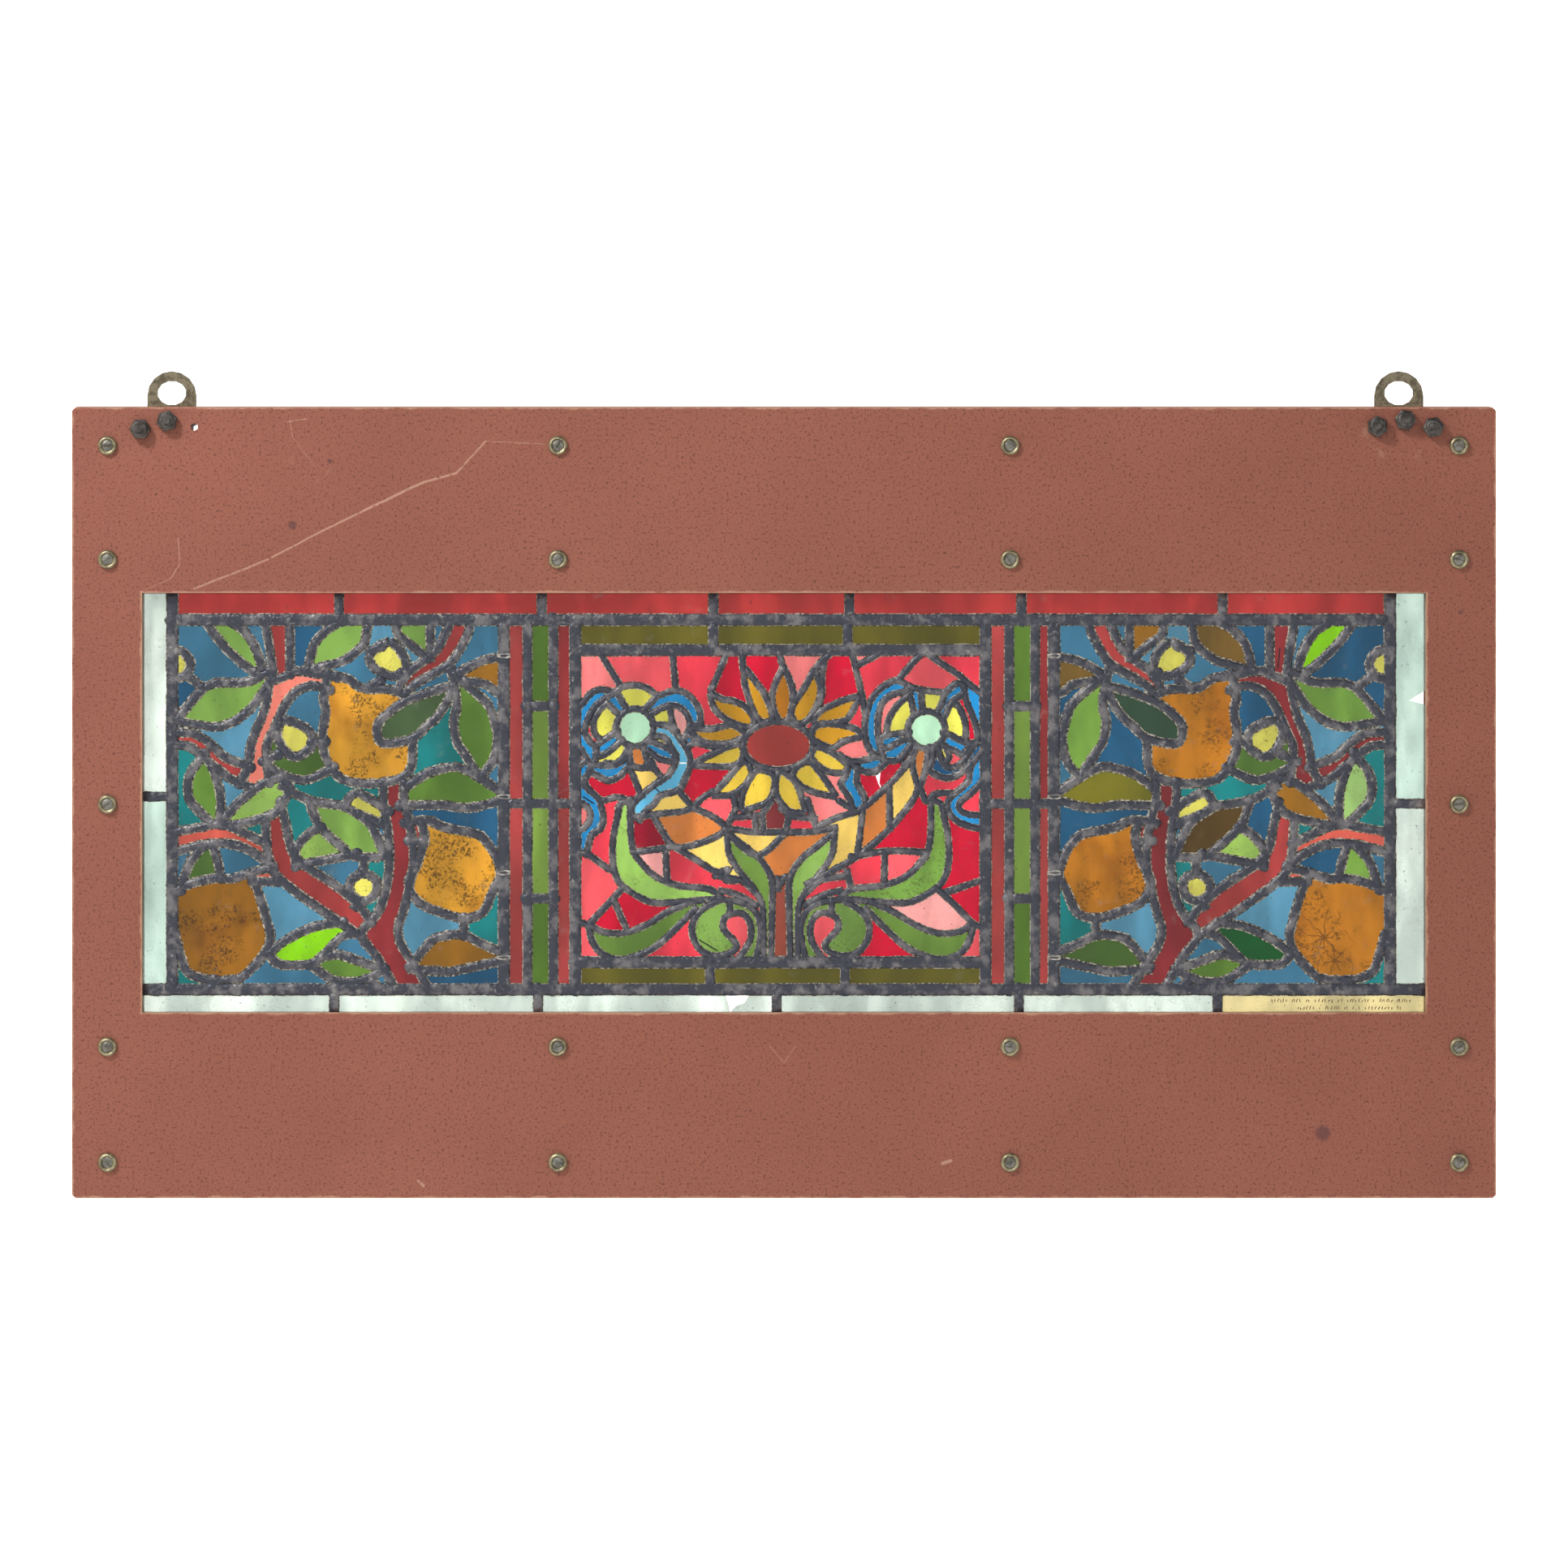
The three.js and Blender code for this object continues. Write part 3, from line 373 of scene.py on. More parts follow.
RIGHT_CAMES = {
    "rays": [
        [37, 106, 28, 99, 22.5, 93, 20, 90], [27.5, 98, 26, 85, 26, 75, 24.5, 68],
        [46.5, 106, 48.5, 94, 51, 84, 53.5, 73, 55.5, 62], [50, 94, 58, 98, 68, 104],
        [97, 103, 91, 99, 84, 91, 78, 84],
        [97, 103, 103, 98.5, 112, 92.5, 120, 87, 127, 81, 135, 75],
        [112, -61, 138, -52], [104, -58, 117, -70, 130, -83, 138, -85],
        [98, -34, 72, -33, 46, -37], [69, -34, 68.5, -53], [43, -46, 46, -59],
    ],
    "rosette_outside": [
        [86, 79.5, 78, 83.5, 70, 81, 62.5, 74.5, 57.3, 65, 55.3, 54, 56, 43, 59, 36, 63, 32],
        [87, 76.5, 80, 75.5, 73, 73.3, 67, 67.5, 64.5, 58, 64.2, 48, 65.3, 42, 66.5, 36, 68, 30],
        [84, 80.5, 91, 78, 97, 76.7, 104, 76, 110, 75.5, 114, 79, 119, 81.8, 123, 80, 123.3, 75.5,
         120.5, 72.7, 116, 70, 113, 66, 111, 61, 108.5, 57],
        [123, 79, 125, 69, 129, 59.5, 132, 50, 132.5, 44, 130.5, 40, 126, 38],
        [99, 22, 104, 19, 110, 17, 117, 18, 124, 22.5, 129, 27.5, 135, 34],
    ],
    "rosette": [
        [87, 75, 80, 69, 74.5, 62.5, 71.3, 55.5, 70, 47], [66, 44.5, 70, 46.3, 76, 47, 86, 48.5],
        [86, 74, 88, 66, 89, 60.5], [94, 77, 94.3, 69, 95.3, 62], [110, 75.5, 108, 68, 104.5, 61],
        [116, 68.5, 120, 65, 123.5, 57, 124.5, 49, 124, 42],
        [109, 48, 114, 46.3, 119, 43.5, 124, 41.5, 131, 40.5],
        [107, 41, 112, 37.5, 117, 35.5, 122, 33, 126, 37],
        [105, 39.5, 106.5, 33, 108.5, 28, 112, 24.5, 117, 24.5, 121, 27, 125, 31.5, 131, 41],
        [102.5, 38.5, 101.5, 30, 100, 25, 98.5, 21], [111, 37.5, 113, 31.5, 110, 27],
        [90.5, 39, 88, 31, 88, 25, 90, 17, 92, 11], [99, 38, 98, 30, 97, 24, 95, 16, 92.5, 10],
        [66.5, 38, 71, 37.3, 76, 40, 81, 42.5, 86, 43.5],
        [68, 29, 77, 28.8, 82, 33, 86.5, 39, 88, 41], [82, 26.5, 85.5, 29, 89, 35],
    ],
    "bowl": [
        [93, 10, 97.5, 1, 102, 5, 107, 6.5, 117, 6.5],
        [68, 30, 63, 31.5, 57, 29.8, 50, 28.3, 44, 29, 38, 33],
        [45, 27.5, 50, 23.8, 55, 21.3, 61, 20.8, 66, 24, 70, 28],
    ],
    "edge_ribbon": [
        [129.5, 28, 127, 22, 126.3, 15.5, 121.5, 10, 116, 5.5, 112.3, 1, 111.8, -4, 114.5, -9,
         119, -13, 126, -16, 138, -18.5],
        [136, 15, 131.5, 10, 126.5, 5.3, 121, 1, 119.8, -3.5, 123.5, -7, 130, -8.3, 138, -8.5],
    ],
    "long_ribbon": [
        [44, 29, 43.5, 22, 41.5, 17, 38.8, 12.5, 44.5, 3.5, 46.7, -4],
        [50.5, 24, 49.8, 17, 50.3, 12.8, 55, 4, 56, -2],
    ],
    "swag": [
        [87, 29, 82, 23.5, 76, 16.5, 69.5, 10, 63, 4, 56.5, -1.5, 50, -6, 40, -9, 30, -13, 22, -17],
        [92, 12, 90.5, 6, 86, -1.5, 80, -9, 72, -18, 60, -29, 50, -37, 40, -43, 30, -48, 15, -56],
        [72, 11, 72.5, -18], [54, -3, 52, -22, 50, -37], [22, -17, 16, 2], [38, 1, 50, -6],
    ],
}
MIDDLE_CAMES = [
    [-40, -17, -22, -20, -2, -20, 18, -20, 36, -17], [-38, -22, -18, -36, 2, -20],
    [-36, -10, -20, -9, -15, -8], [-20, -9, -19, -20], [-15, -8, -14, -20],
    [-15, -8, -9, 1], [-2, -4, 3, -9, 1, -20], [3, -9, 22, -11], [-4, -57, 1, -51],
    [-4, -51, -4, -60],
]
ROSETTES = [(-102, 51.5, 12.8), (97.5, 49.8, 12.8)]
HEART = (-4, 39, 24, 16.5)
PETAL_TIP = 1.5  # how much farther the came's middle line reaches at a petal's tip
# Outlines of the sunflower's petals, as they show between the cames
PETALS = {
    "amber_petal": [
        [-48, 73, -43, 69, -35, 67.5, -28, 64, -22.5, 57, -23, 54, -30, 55, -40, 60, -46, 66],
        [-27, 89, -20, 80, -15, 73, -10, 58, -15, 57.5, -20, 66, -25, 83],
        [20, 88.5, 23, 76, 17, 61, 11, 56, 8, 58, 7.5, 65, 16, 78],
        [49.5, 71.5, 44, 62, 40, 58, 22, 56, 25, 60, 40, 67.5],
        [21, 47, 23, 50.5, 30, 52, 47, 49, 52, 47, 40, 44, 33, 39.5, 21, 45],
        [-63, 49, -48, 48.5, -36, 51, -28.5, 47, -40, 42.5, -55, 44],
    ],
    "dark_petal": [[0, 90, 4, 76, 1.5, 58.5, -2, 58, -6, 74]],
    "yellow_petal": [
        [20.5, 32, 23, 36, 34, 31, 41.5, 24, 40, 22.5, 29, 24],
        [8, 20, 16, 26, 24, 18, 33, 5, 22, 9, 12, 14],
        [-2, 20, 3, 16, 8, 9, 12.5, -5, 5, -4, -3, 6],
        [-18, 20, -9, 17.5, -10, 6, -15, 1, -28, -3, -26, 6],
        [-27, 26, -24, 20, -35, 8, -46.5, 6.5, -38, 14],
        [-31, 38, -30, 32, -37, 27, -62, 28, -50, 30.5],
    ],
}

HALF_GLASS = {
    "scroll": [(-111, -30), (-95, -56), (-60, -63)],
    "low_leaf": [(-110, -97)],
    "volute": [(-53, -88), (-24, -74), (-20, -90)],
    "rose": [(-33, -85)],
    "stem": [(-4, -90)],
}
LEFT_GLASS = {
    "petal": [(-102, 72), (-122, 55), (-113, 34), (-83, 58), (-85, 42)],
    "mint": [(-102, 51)],
    "ribbon": [(-136.5, 62), (-115, 67), (-120, 40), (-119, 20), (-75, 71), (-84, 35), (-65, 42),
               (-139, 20), (-139, 8), (-133, 3), (-129, -8), (-128, -14), (-138, -26)],
    "pale_ribbon": [(-68, 30), (-77, 46), (-80, 10), (-98, -5)],
    "orange": [(-99, 32), (-65, -16), (0, -32), (-40, -49)],
    "straw": [(-94, 16), (-78, -1), (-50, -34), (-18, -25)],
    "pink": [(-130, 90), (-84, 24), (-139, -9)],
    "rose": [(-97, 90), (-47, 0), (-60, -100), (-137, -100), (-125, -60)],
    "pale_pink": [(-92, -41), (-71, 57)],
    "crimson": [(-36, 85), (-14, 90), (-60, 15), (-62, -45), (-107, -75), (-118, -78),
                (-120, 9), (-121, -84)],
    "dark_crimson": [(-92, -22)],
    "long_leaf": [(-28, -38), (-12, -62), (-12, -90)],
    "pentagon": [(-7, -12)],
    "red": [(-32, -58), (-118, -15), (-132, 48), (-60, 90)],
}
RIGHT_PANES = {
    "petal": [(80, 60), (102, 70), (117, 55), (109.5, 35), (84.5, 32.5)],
    "mint": [(97, 50)],
    "ribbon": [(60, 60), (91, 67), (112, 71), (120, 78), (131, 68), (116, 40), (130, 32),
               (76, 34), (77, 44.5), (58, 25), (47, 20), (44, 12), (50, 0), (117, 2), (131, 18),
               (131, -14)],
    "deep_ribbon": [(104, 25)],
    "crimson": [(38, 85), (94, -12), (58, 12), (75, 22), (75, -25), (122, -40), (70, -90),
                (126, -70), (127, 52), (110, 99)],
    "pink": [(12, 95), (72, 66), (50, 35), (28, -5), (52, 99.5)],
    "pale_pink": [(100, -75)],
    "red": [(65, 90), (130, 90), (110, 12), (60, -46), (30, -58), (53, 60), (128, -2)],
    "rose": [(98, 88), (117, 29), (80, -43), (131, -103)],
    "straw": [(40, -25), (81, 3), (47, -25)],
    "orange": [(62, -15), (93, 27)],
    "scroll_right": [(106, -30), (91, -56), (56, -63)],
    "scroll": [(22, -40), (5, -62), (6, -90)],
    "hole": [(64, 17)],
}
BREAK = [62, 20.5, 66, 20.5, 65, 12]

# ------------------------------------------------------------ the came lines


def mirrored(line, total):
    """A line on the other side of the middle: x and its image add up to total."""
    return [total - v if i % 2 == 0 else v for i, v in enumerate(line)]


def pairs(line):
    """The points of a flat list."""
    return [Vector(pair) for pair in zip(line[::2], line[1::2])]


def curve_points(line, closed=False, steps=5):
    """A smooth curve through the points of a flat list."""
    knots = pairs(line)
    if len(knots) == 2:
        return knots
    count = len(knots)
    spans = count if closed else count - 1
    made = []
    for i in range(spans):
        before = knots[i - 1] if closed or i else knots[0] * 2 - knots[1]
        start, end = knots[i], knots[(i + 1) % count]
        far = i + 2
        after = knots[far % count] if closed or far < count else end * 2 - start
        for step in range(steps):
            t = step / steps
            made.append(0.5 * (
                2 * start + (end - before) * t
                + (2 * before - 5 * start + 4 * end - after) * t ** 2
                + (3 * start - before - 3 * end + after) * t ** 3
            ))
    made.append(knots[0] if closed else knots[-1])
    return made


def lengthened(points, extra):
    """A curve run on at both ends, so that it reaches the cames that it meets."""
    first = points[0] + (points[0] - points[1]).normalized() * extra
    last = points[-1] + (points[-1] - points[-2]).normalized() * extra
    return [first, *points, last]


def outset(outline, gap):
    """A closed outline moved outwards, from the glass's edge to the came's middle."""
    points = pairs(outline)
    area = sum(a.x * b.y - b.x * a.y for a, b in zip(points, points[1:] + points[:1]))
    turn = 1 if area > 0 else -1
    moved = []
    for i, point in enumerate(points):
        ahead = (points[(i + 1) % len(points)] - points[i - 1]).normalized()
        moved += [point.x + ahead.y * gap * turn, point.y - ahead.x * gap * turn]
    return moved


def turns(count):
    """The angles of a full turn in equal steps."""
    return [2 * math.pi * i / count for i in range(count)]


def ellipse(x, z, a, b, count=12):
    """Points on an ellipse, as a flat list."""
    return [v for t in turns(count) for v in (x + a * math.cos(t), z + b * math.sin(t))]


def side_lines():
    """The cames of the left side picture: open curves and rings."""
    lines = [
        lengthened(curve_points(line), SIDE_RUN_ON)
        for group in SIDE_CAMES.values() for line in group
    ]
    return lines + [curve_points(ring, closed=True) for ring in SIDE_RINGS.values()]


def petal_line(outline):
    """A petal's came, from its tip round and back to it; the tip is the point farthest out."""
    points = list(zip(outline[::2], outline[1::2]))
    tip = max(range(len(points)), key=lambda i: math.dist(points[i], HEART[:2]))
    turned = [v for point in points[tip:] + points[:tip] for v in point]
    moved = outset(turned, FINE_LEAD / 2)
    outward = (Vector(moved[:2]) - Vector(HEART[:2])).normalized() * PETAL_TIP
    moved[:2] = moved[0] + outward.x, moved[1] + outward.y
    return curve_points(moved + moved[:2], steps=4)


def centre_lines():
    """The cames of the centre picture: the open ones, then the rings and the petals."""
    lines = []
    for group in HALF_CAMES.values():
        for line in group:
            lines += [line, mirrored(line, CENTRE_MIRROR)]
    for group in (*LEFT_CAMES.values(), *RIGHT_CAMES.values(), MIDDLE_CAMES):
        lines += group
    curves = [lengthened(curve_points(line), CENTRE_RUN_ON) for line in lines]
    rings = [ellipse(x, z, radius, radius) for x, z, radius in ROSETTES] + [ellipse(*HEART)]
    curves += [curve_points(ring, closed=True, steps=4) for ring in rings]
    return curves + [petal_line(petal) for group in PETALS.values() for petal in group]


def inside(rect, point):
    """Whether a point lies in a rectangle (x0, x1, z0, z1)."""
    x0, x1, z0, z1 = rect
    return x0 <= point[0] <= x1 and z0 <= point[1] <= z1


def held_in(rect, points):
    """Points moved to the nearest place in a rectangle."""
    x0, x1, z0, z1 = rect
    return [Vector((min(max(p[0], x0), x1), min(max(p[1], z0), z1))) for p in points]


def clipped(rect, lines):
    """The stretches of curves that lie within a rectangle, cut at its edges."""
    kept = []
    for line in lines:
        held = held_in(rect, line)
        within = [inside(rect, p) for p in line]
        run = []
        for i, point in enumerate(held):
            near = within[max(i - 1, 0)] or within[min(i + 1, len(line) - 1)]
            if within[i] or near:
                run.append(point)
            elif run:
                kept.append(run)
                run = []
        kept.append(run)
    return [line for line in kept if len(line) > 1]


# ---------------------------------------------------------------- the glass


def came_edges(line, width):
    """The closed outline of a came: both of its edges and its two ends."""
    left, right = [], []
    for i, point in enumerate(line):
        ahead = Vector(line[min(i + 1, len(line) - 1)]) - Vector(line[max(i - 1, 0)])
        across = Vector((-ahead.y, ahead.x)).normalized() * width / 2
        left.append(point + across)
        right.append(point - across)
    return left + right[::-1]


def cells(rect, lines, width, breaks=()):
    """Cuts a rectangle along the edges of the cames. Returns points, triangles, cell numbers."""
    x0, x1, z0, z1 = rect
    points = [Vector((x0, z0)), Vector((x1, z0)), Vector((x1, z1)), Vector((x0, z1))]
    edges = [(0, 1), (1, 2), (2, 3), (3, 0)]
    outlines = [came_edges(line, width) for line in lines] + list(breaks)
    for outline in outlines:
        start, count = len(points), len(outline)
        points += held_in(rect, outline)
        edges += [(start + i, start + (i + 1) % count) for i in range(count)]
    made = geometry.delaunay_2d_cdt(points, edges, [], 0, 0.02)
    spots, sides, triangles = made[0], made[1], made[2]
    walls = {frozenset(side) for side, origin in zip(sides, made[4]) if origin}
    touching = {}
    for number, triangle in enumerate(triangles):
        for a, b in zip(triangle, (*triangle[1:], triangle[0])):
            touching.setdefault(frozenset((a, b)), []).append(number)
    cell = [-1] * len(triangles)
    count = 0
    for first in range(len(triangles)):
        if cell[first] >= 0:
            continue
        cell[first] = count
        queue = [first]
        while queue:
            current = triangles[queue.pop()]
            for a, b in zip(current, (*current[1:], current[0])):
                if frozenset((a, b)) in walls:
                    continue
                for other in touching[frozenset((a, b))]:
                    if cell[other] < 0:
                        cell[other] = count
                        queue.append(other)
        count += 1
    return spots, triangles, cell


def holds(a, b, c, point):
    """Whether a triangle holds a point."""
    def side(p, q):
        return (q.x - p.x) * (point[1] - p.y) - (q.y - p.y) * (point[0] - p.x)
    signs = (side(a, b), side(b, c), side(c, a))
    return min(signs) >= 0 or max(signs) <= 0


def paint_cells(spots, triangles, cell, seeds, ground):
    """The paint of each cell: that of the seed in it, or one of the ground's."""
    paints = {}
    for paint, places in seeds:
        for point in places:
            for number, (a, b, c) in enumerate(triangles):
                if holds(spots[a], spots[b], spots[c], point):
                    paints[cell[number]] = paint
                    break
    for number in range(max(cell) + 1):
        paints.setdefault(number, ground)
    return paints


def new_object(name, data):
    """A new object in the scene."""
    made = bpy.data.objects.new(name, data)
    bpy.context.collection.objects.link(made)
    return made


def mesh_data_of(name, mesh):
    """What mesh code made, as mesh data."""
    data = bpy.data.meshes.new(name)
    mesh.to_mesh(data)
    mesh.free()
    return data


def finish_piece(name, mesh_data, material, stands_for=()):
    """A new piece that rides on the window."""
    piece = new_object(name, mesh_data)
    mesh_data.materials.append(material)
    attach(piece, "root")
    if stands_for:
        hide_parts(*stands_for)
    return piece


def mesh_piece(name, mesh, material, stands_for=(), smooth=False):
    """A new piece from mesh code's result."""
    data = mesh_data_of(name, mesh)
    if smooth:
        data.shade_smooth()
    return finish_piece(name, data, material, stands_for)


def glass_sheet(name, rect, lines, width, seeds, ground, material, stands_for, breaks=()):
    """The panes within a rectangle: one thin closed sheet, coloured pane by pane."""
    spots, triangles, cell = cells(rect, lines, width, breaks)
    paints = paint_cells(spots, triangles, cell, seeds, ground)
    shades = {n: srgb(*PAINTS.get(paint, (0, 0, 0))) for n, paint in paints.items()}
    tints = {n: random.uniform(0.9, 1.1) for n in paints}
    ages = {n: AGED.get(paint, NEARLY_NEW) for n, paint in paints.items()}
    kept = [i for i in range(len(triangles)) if paints[cell[i]] != "hole"]
    count = len(spots)
    verts = [place(p.x, -GLASS, p.y) for p in spots] + [place(p.x, GLASS, p.y) for p in spots]
    faces = []
    colours = []
    edge_use = {}
    for i in kept:
        a, b, c = triangles[i]
        colour = [v * tints[cell[i]] for v in shades[cell[i]]] + [ages[cell[i]]]
        faces += [(a, b, c), (c + count, b + count, a + count)]
        colours += [colour, colour]
        for side in ((a, b), (b, c), (c, a)):
            edge_use.setdefault(frozenset(side), []).append((side, colour))
    for uses in edge_use.values():
        if len(uses) == 1:
            (a, b), colour = uses[0]
            faces.append((b, a, a + count, b + count))
            colours.append(colour)
    data = bpy.data.meshes.new(name)
    data.from_pydata(verts, [], faces)
    layer = data.attributes.new("pane", "FLOAT_COLOR", "FACE")
    for item, colour in zip(layer.data, colours):
        item.color = colour
    data.update()
    return finish_piece(name, data, material, stands_for)


# ------------------------------------------------------------------ the lead

CAME_PROFILE = [(-1, 0), (-0.86, 0.45), (-0.5, 0.86), (0, 1), (0.5, 0.86), (0.86, 0.45), (1, 0)]
FLAT_PROFILE = [(-1, 0), (-0.96, 0.7), (-0.8, 0.92), (0, 1), (0.8, 0.92), (0.96, 0.7), (1, 0)]
CEMENT_PROFILE = [(-1, 0), (-0.9, 1), (0.9, 1), (1, 0)]


def resampled(points, step):
    """A curve's points about one step apart."""
    made = [points[0]]
    for a, b in zip(points, points[1:]):
        parts = max(1, round((b - a).length / step))
        made += [a.lerp(b, i / parts) for i in range(1, parts + 1)]
    return made


def sweep(mesh, line, width, crown, profile, step, base=GLASS, ragged=0.0, face=-1, rubbed=1.0):
    """Runs a profile along a curve, on the front (face -1) or rear (face 1) of the glass."""
    points = resampled([Vector(p) for p in line], step)
    rows = []
    rub = mesh.verts.layers.float.get("rub") or mesh.verts.layers.float.new("rub")
    for i, point in enumerate(points):
        ahead = points[min(i + 1, len(points) - 1)] - points[max(i - 1, 0)]
        if ahead.length < 1e-6:
            continue
        across = Vector((-ahead.y, ahead.x)).normalized()
        wobble = noise.noise(Vector((point.x * 0.09, point.y * 0.09, 3.0)))
        half = width / 2 * (1 + 0.10 * wobble)
        top = base + (crown - base) * (1 + 0.10 * wobble)
        row = []
        for reach, rise in profile:
            shift = ragged * noise.noise(Vector((point.x * 0.5, point.y * 0.5, reach * 9)))
            spot = point + across * (half * reach + shift)
            depth = base + (top - base) * rise
            vert = mesh.verts.new(place(spot.x, face * min(depth, HIGHEST), spot.y))
            vert[rub] = (1 - rise) * rubbed
            row.append(vert)
        rows.append(row)
    for row, after in zip(rows, rows[1:]):
        for j in range(len(row) - 1):
            quad = (row[j], row[j + 1], after[j + 1], after[j])
            mesh.faces.new(quad if face < 0 else quad[::-1])
    for row, flip in ((rows[0], face > 0), (rows[-1], face < 0)):
        mesh.faces.new(row[::-1] if flip else row)


def join_rings(mesh, rows, sides):
    """Faces between rings of vertices; a ring of one vertex is a point."""
    for row, after in zip(rows, rows[1:]):
        for i in range(sides):
            quad = [row[i % len(row)], row[(i + 1) % sides % len(row)],
                    after[(i + 1) % sides % len(after)], after[i % len(after)]]
            mesh.faces.new(list(dict.fromkeys(quad)))


def blob(mesh, centre, radius, height, face=-1, sides=10):
    """A low round lump of solder at a joint."""
    rings = [(1.0, 0.0), (0.8, 0.62), (0.45, 0.92)]
    rows = []
    for reach, rise in rings:
        row = []
        for angle in turns(sides):
            lump = 1 + 0.22 * noise.noise(Vector((centre.x + math.cos(angle), centre.y, angle)))
            reach_now = radius * reach * lump
            x = centre.x + reach_now * math.cos(angle)
            z = centre.y + reach_now * math.sin(angle)
            depth = GLASS + (height - GLASS) * rise
            row.append(mesh.verts.new(place(x, face * depth, z)))
        rows.append(row)
    rows.append([mesh.verts.new(place(centre.x, face * height, centre.y))])
    join_rings(mesh, rows, sides)


def joints_of(lines):
    """Where cames are soldered: the ends of the open ones, less the bit that runs under others."""
    joints = []
    for line in lines:
        if line[0] == line[-1]:
            continue
        for end, inner in ((line[0], line[1]), (line[-1], line[-2])):
            on_bar = len(line) == 2 or any(on_edge(rect, end) for rect in PICTURES)
            joints.append(Vector(end if on_bar else inner))
    return joints


def on_edge(rect, point):
    """Whether a point lies on a rectangle's edge."""
    x0, x1, z0, z1 = rect
    return min(abs(point[0] - x0), abs(point[0] - x1), abs(point[1] - z0), abs(point[1] - z1)) < 0.1


def spread(points, gap):
    """Leaves out each point that is closer than a gap to one already kept."""
    kept = []
    for point in points:
        if all((point - other).length > gap for other in kept):
            kept.append(point)
    return kept


def grid_lines():
    """The straight cames: main ones, and the thin ones between border and stile panes."""
    edge_x, edge_z = SIGHT_X + 2, SIGHT_Z + 2
    main = [
        (LEFT_BAR, TOP_BAR, RIGHT_BAR, TOP_BAR), (-edge_x, BOTTOM_BAR, edge_x, BOTTOM_BAR),
        (LEFT_BAR, BOTTOM_BAR, LEFT_BAR, edge_z), (RIGHT_BAR, BOTTOM_BAR, RIGHT_BAR, edge_z),
        (LEFT_STILE[1], CENTRE_TOP, RIGHT_STILE[0], CENTRE_TOP),
        (LEFT_STILE[1], CENTRE_BOTTOM, RIGHT_STILE[0], CENTRE_BOTTOM),
    ]
    main += [(x, BOTTOM_BAR, x, TOP_BAR) for x in (*LEFT_STILE, *RIGHT_STILE)]
    thin = [(x, TOP_BAR, x, edge_z) for x in TOP_JOINTS]
    thin += [(x, -edge_z, x, BOTTOM_BAR) for x in BOTTOM_JOINTS]
    thin += [(-edge_x, LEFT_JOINT, LEFT_BAR, LEFT_JOINT), (RIGHT_BAR, RIGHT_JOINT, edge_x, RIGHT_JOINT)]
    thin += [(x, CENTRE_TOP, x, TOP_BAR) for x in BAND_TOP_JOINTS]
    thin += [(x, BOTTOM_BAR, x, CENTRE_BOTTOM) for x in BAND_BOTTOM_JOINTS]
    for outer, inner in (LEFT_STILE, RIGHT_STILE):
        turn = 1 if outer < inner else -1
        columns = [outer + turn * step for step in STILE_STEPS]
        thin += [(x, BOTTOM_BAR, x, TOP_BAR) for x in columns]
        thin.append((outer, STILE_ROWS[1], inner, STILE_ROWS[1]))
        thin += [(columns[0], z, columns[1], z) for z in (STILE_ROWS[0], STILE_ROWS[2])]
    return [pairs(line) for line in main], [pairs(line) for line in thin]


# ------------------------------------------------------------- marks and wear

# Thin dark lines painted on the glass: middle, reach and number of rays
PAINTED_STARS = [((369.5, -92.5), 27, 9), ((377, -108), 12, 7)]
# Cracks in the panes: both ends and the colour
WHITE, BLACK = (245, 244, 240), (28, 26, 28)
CRACKS = [
    ((65, 13, 67.5, 8), WHITE), ((94, 6, 100, 0), WHITE), ((-140, 14.5, -136, 15), BLACK),
    ((-137.5, 4, -130, -0.5), BLACK), ((-88, 10, -85, 7), BLACK), ((-72, 27, -66, 27.2), WHITE),
    ((-58, -94, -46, -101), BLACK), ((120, 5, 123, 3), BLACK), ((338, 92, 339.5, 106), BLACK),
]
# Scratches on the front board: start, end, width and strength
SCRATCHES = [
    (-403, 146, -352, 166, 1.0, 0.55), (-352, 166, -314, 186, 0.9, 0.6),
    (-314, 186, -286, 200, 1.0, 0.6), (-286, 200, -246, 219, 1.2, 0.65),
    (-246, 219, -224, 225, 1.2, 0.6), (-224, 225, -204, 247, 1.0, 0.55),
    (-204, 247, -164, 245, 0.6, 0.35), (-338, 262, -336, 250, 0.4, 0.35),
    (-336, 250, -320, 229, 0.4, 0.25), (-339, 260, -326, 262, 0.6, 0.4),
    (-414, 181, -413, 163, 0.5, 0.45), (-413, 163, -419, 153, 0.5, 0.45),
    (-419, 153, -440, 144, 0.4, 0.3),
    (-10, -166, 0, -178, 0.5, 0.3), (0, -178, 8, -166, 0.5, 0.3),
    (-250, -258, -246, -262, 1.4, 0.6), (108, -246, 114, -244, 1.6, 0.6),
]
# Dark stains: middle and radius
STAINS = [(-335.5, 189.4, 4.0), (-310, 233, 2.4), (462, 130, 1.8), (368, -226, 7.0)]

# ----------------------------------------------------------- shader helpers


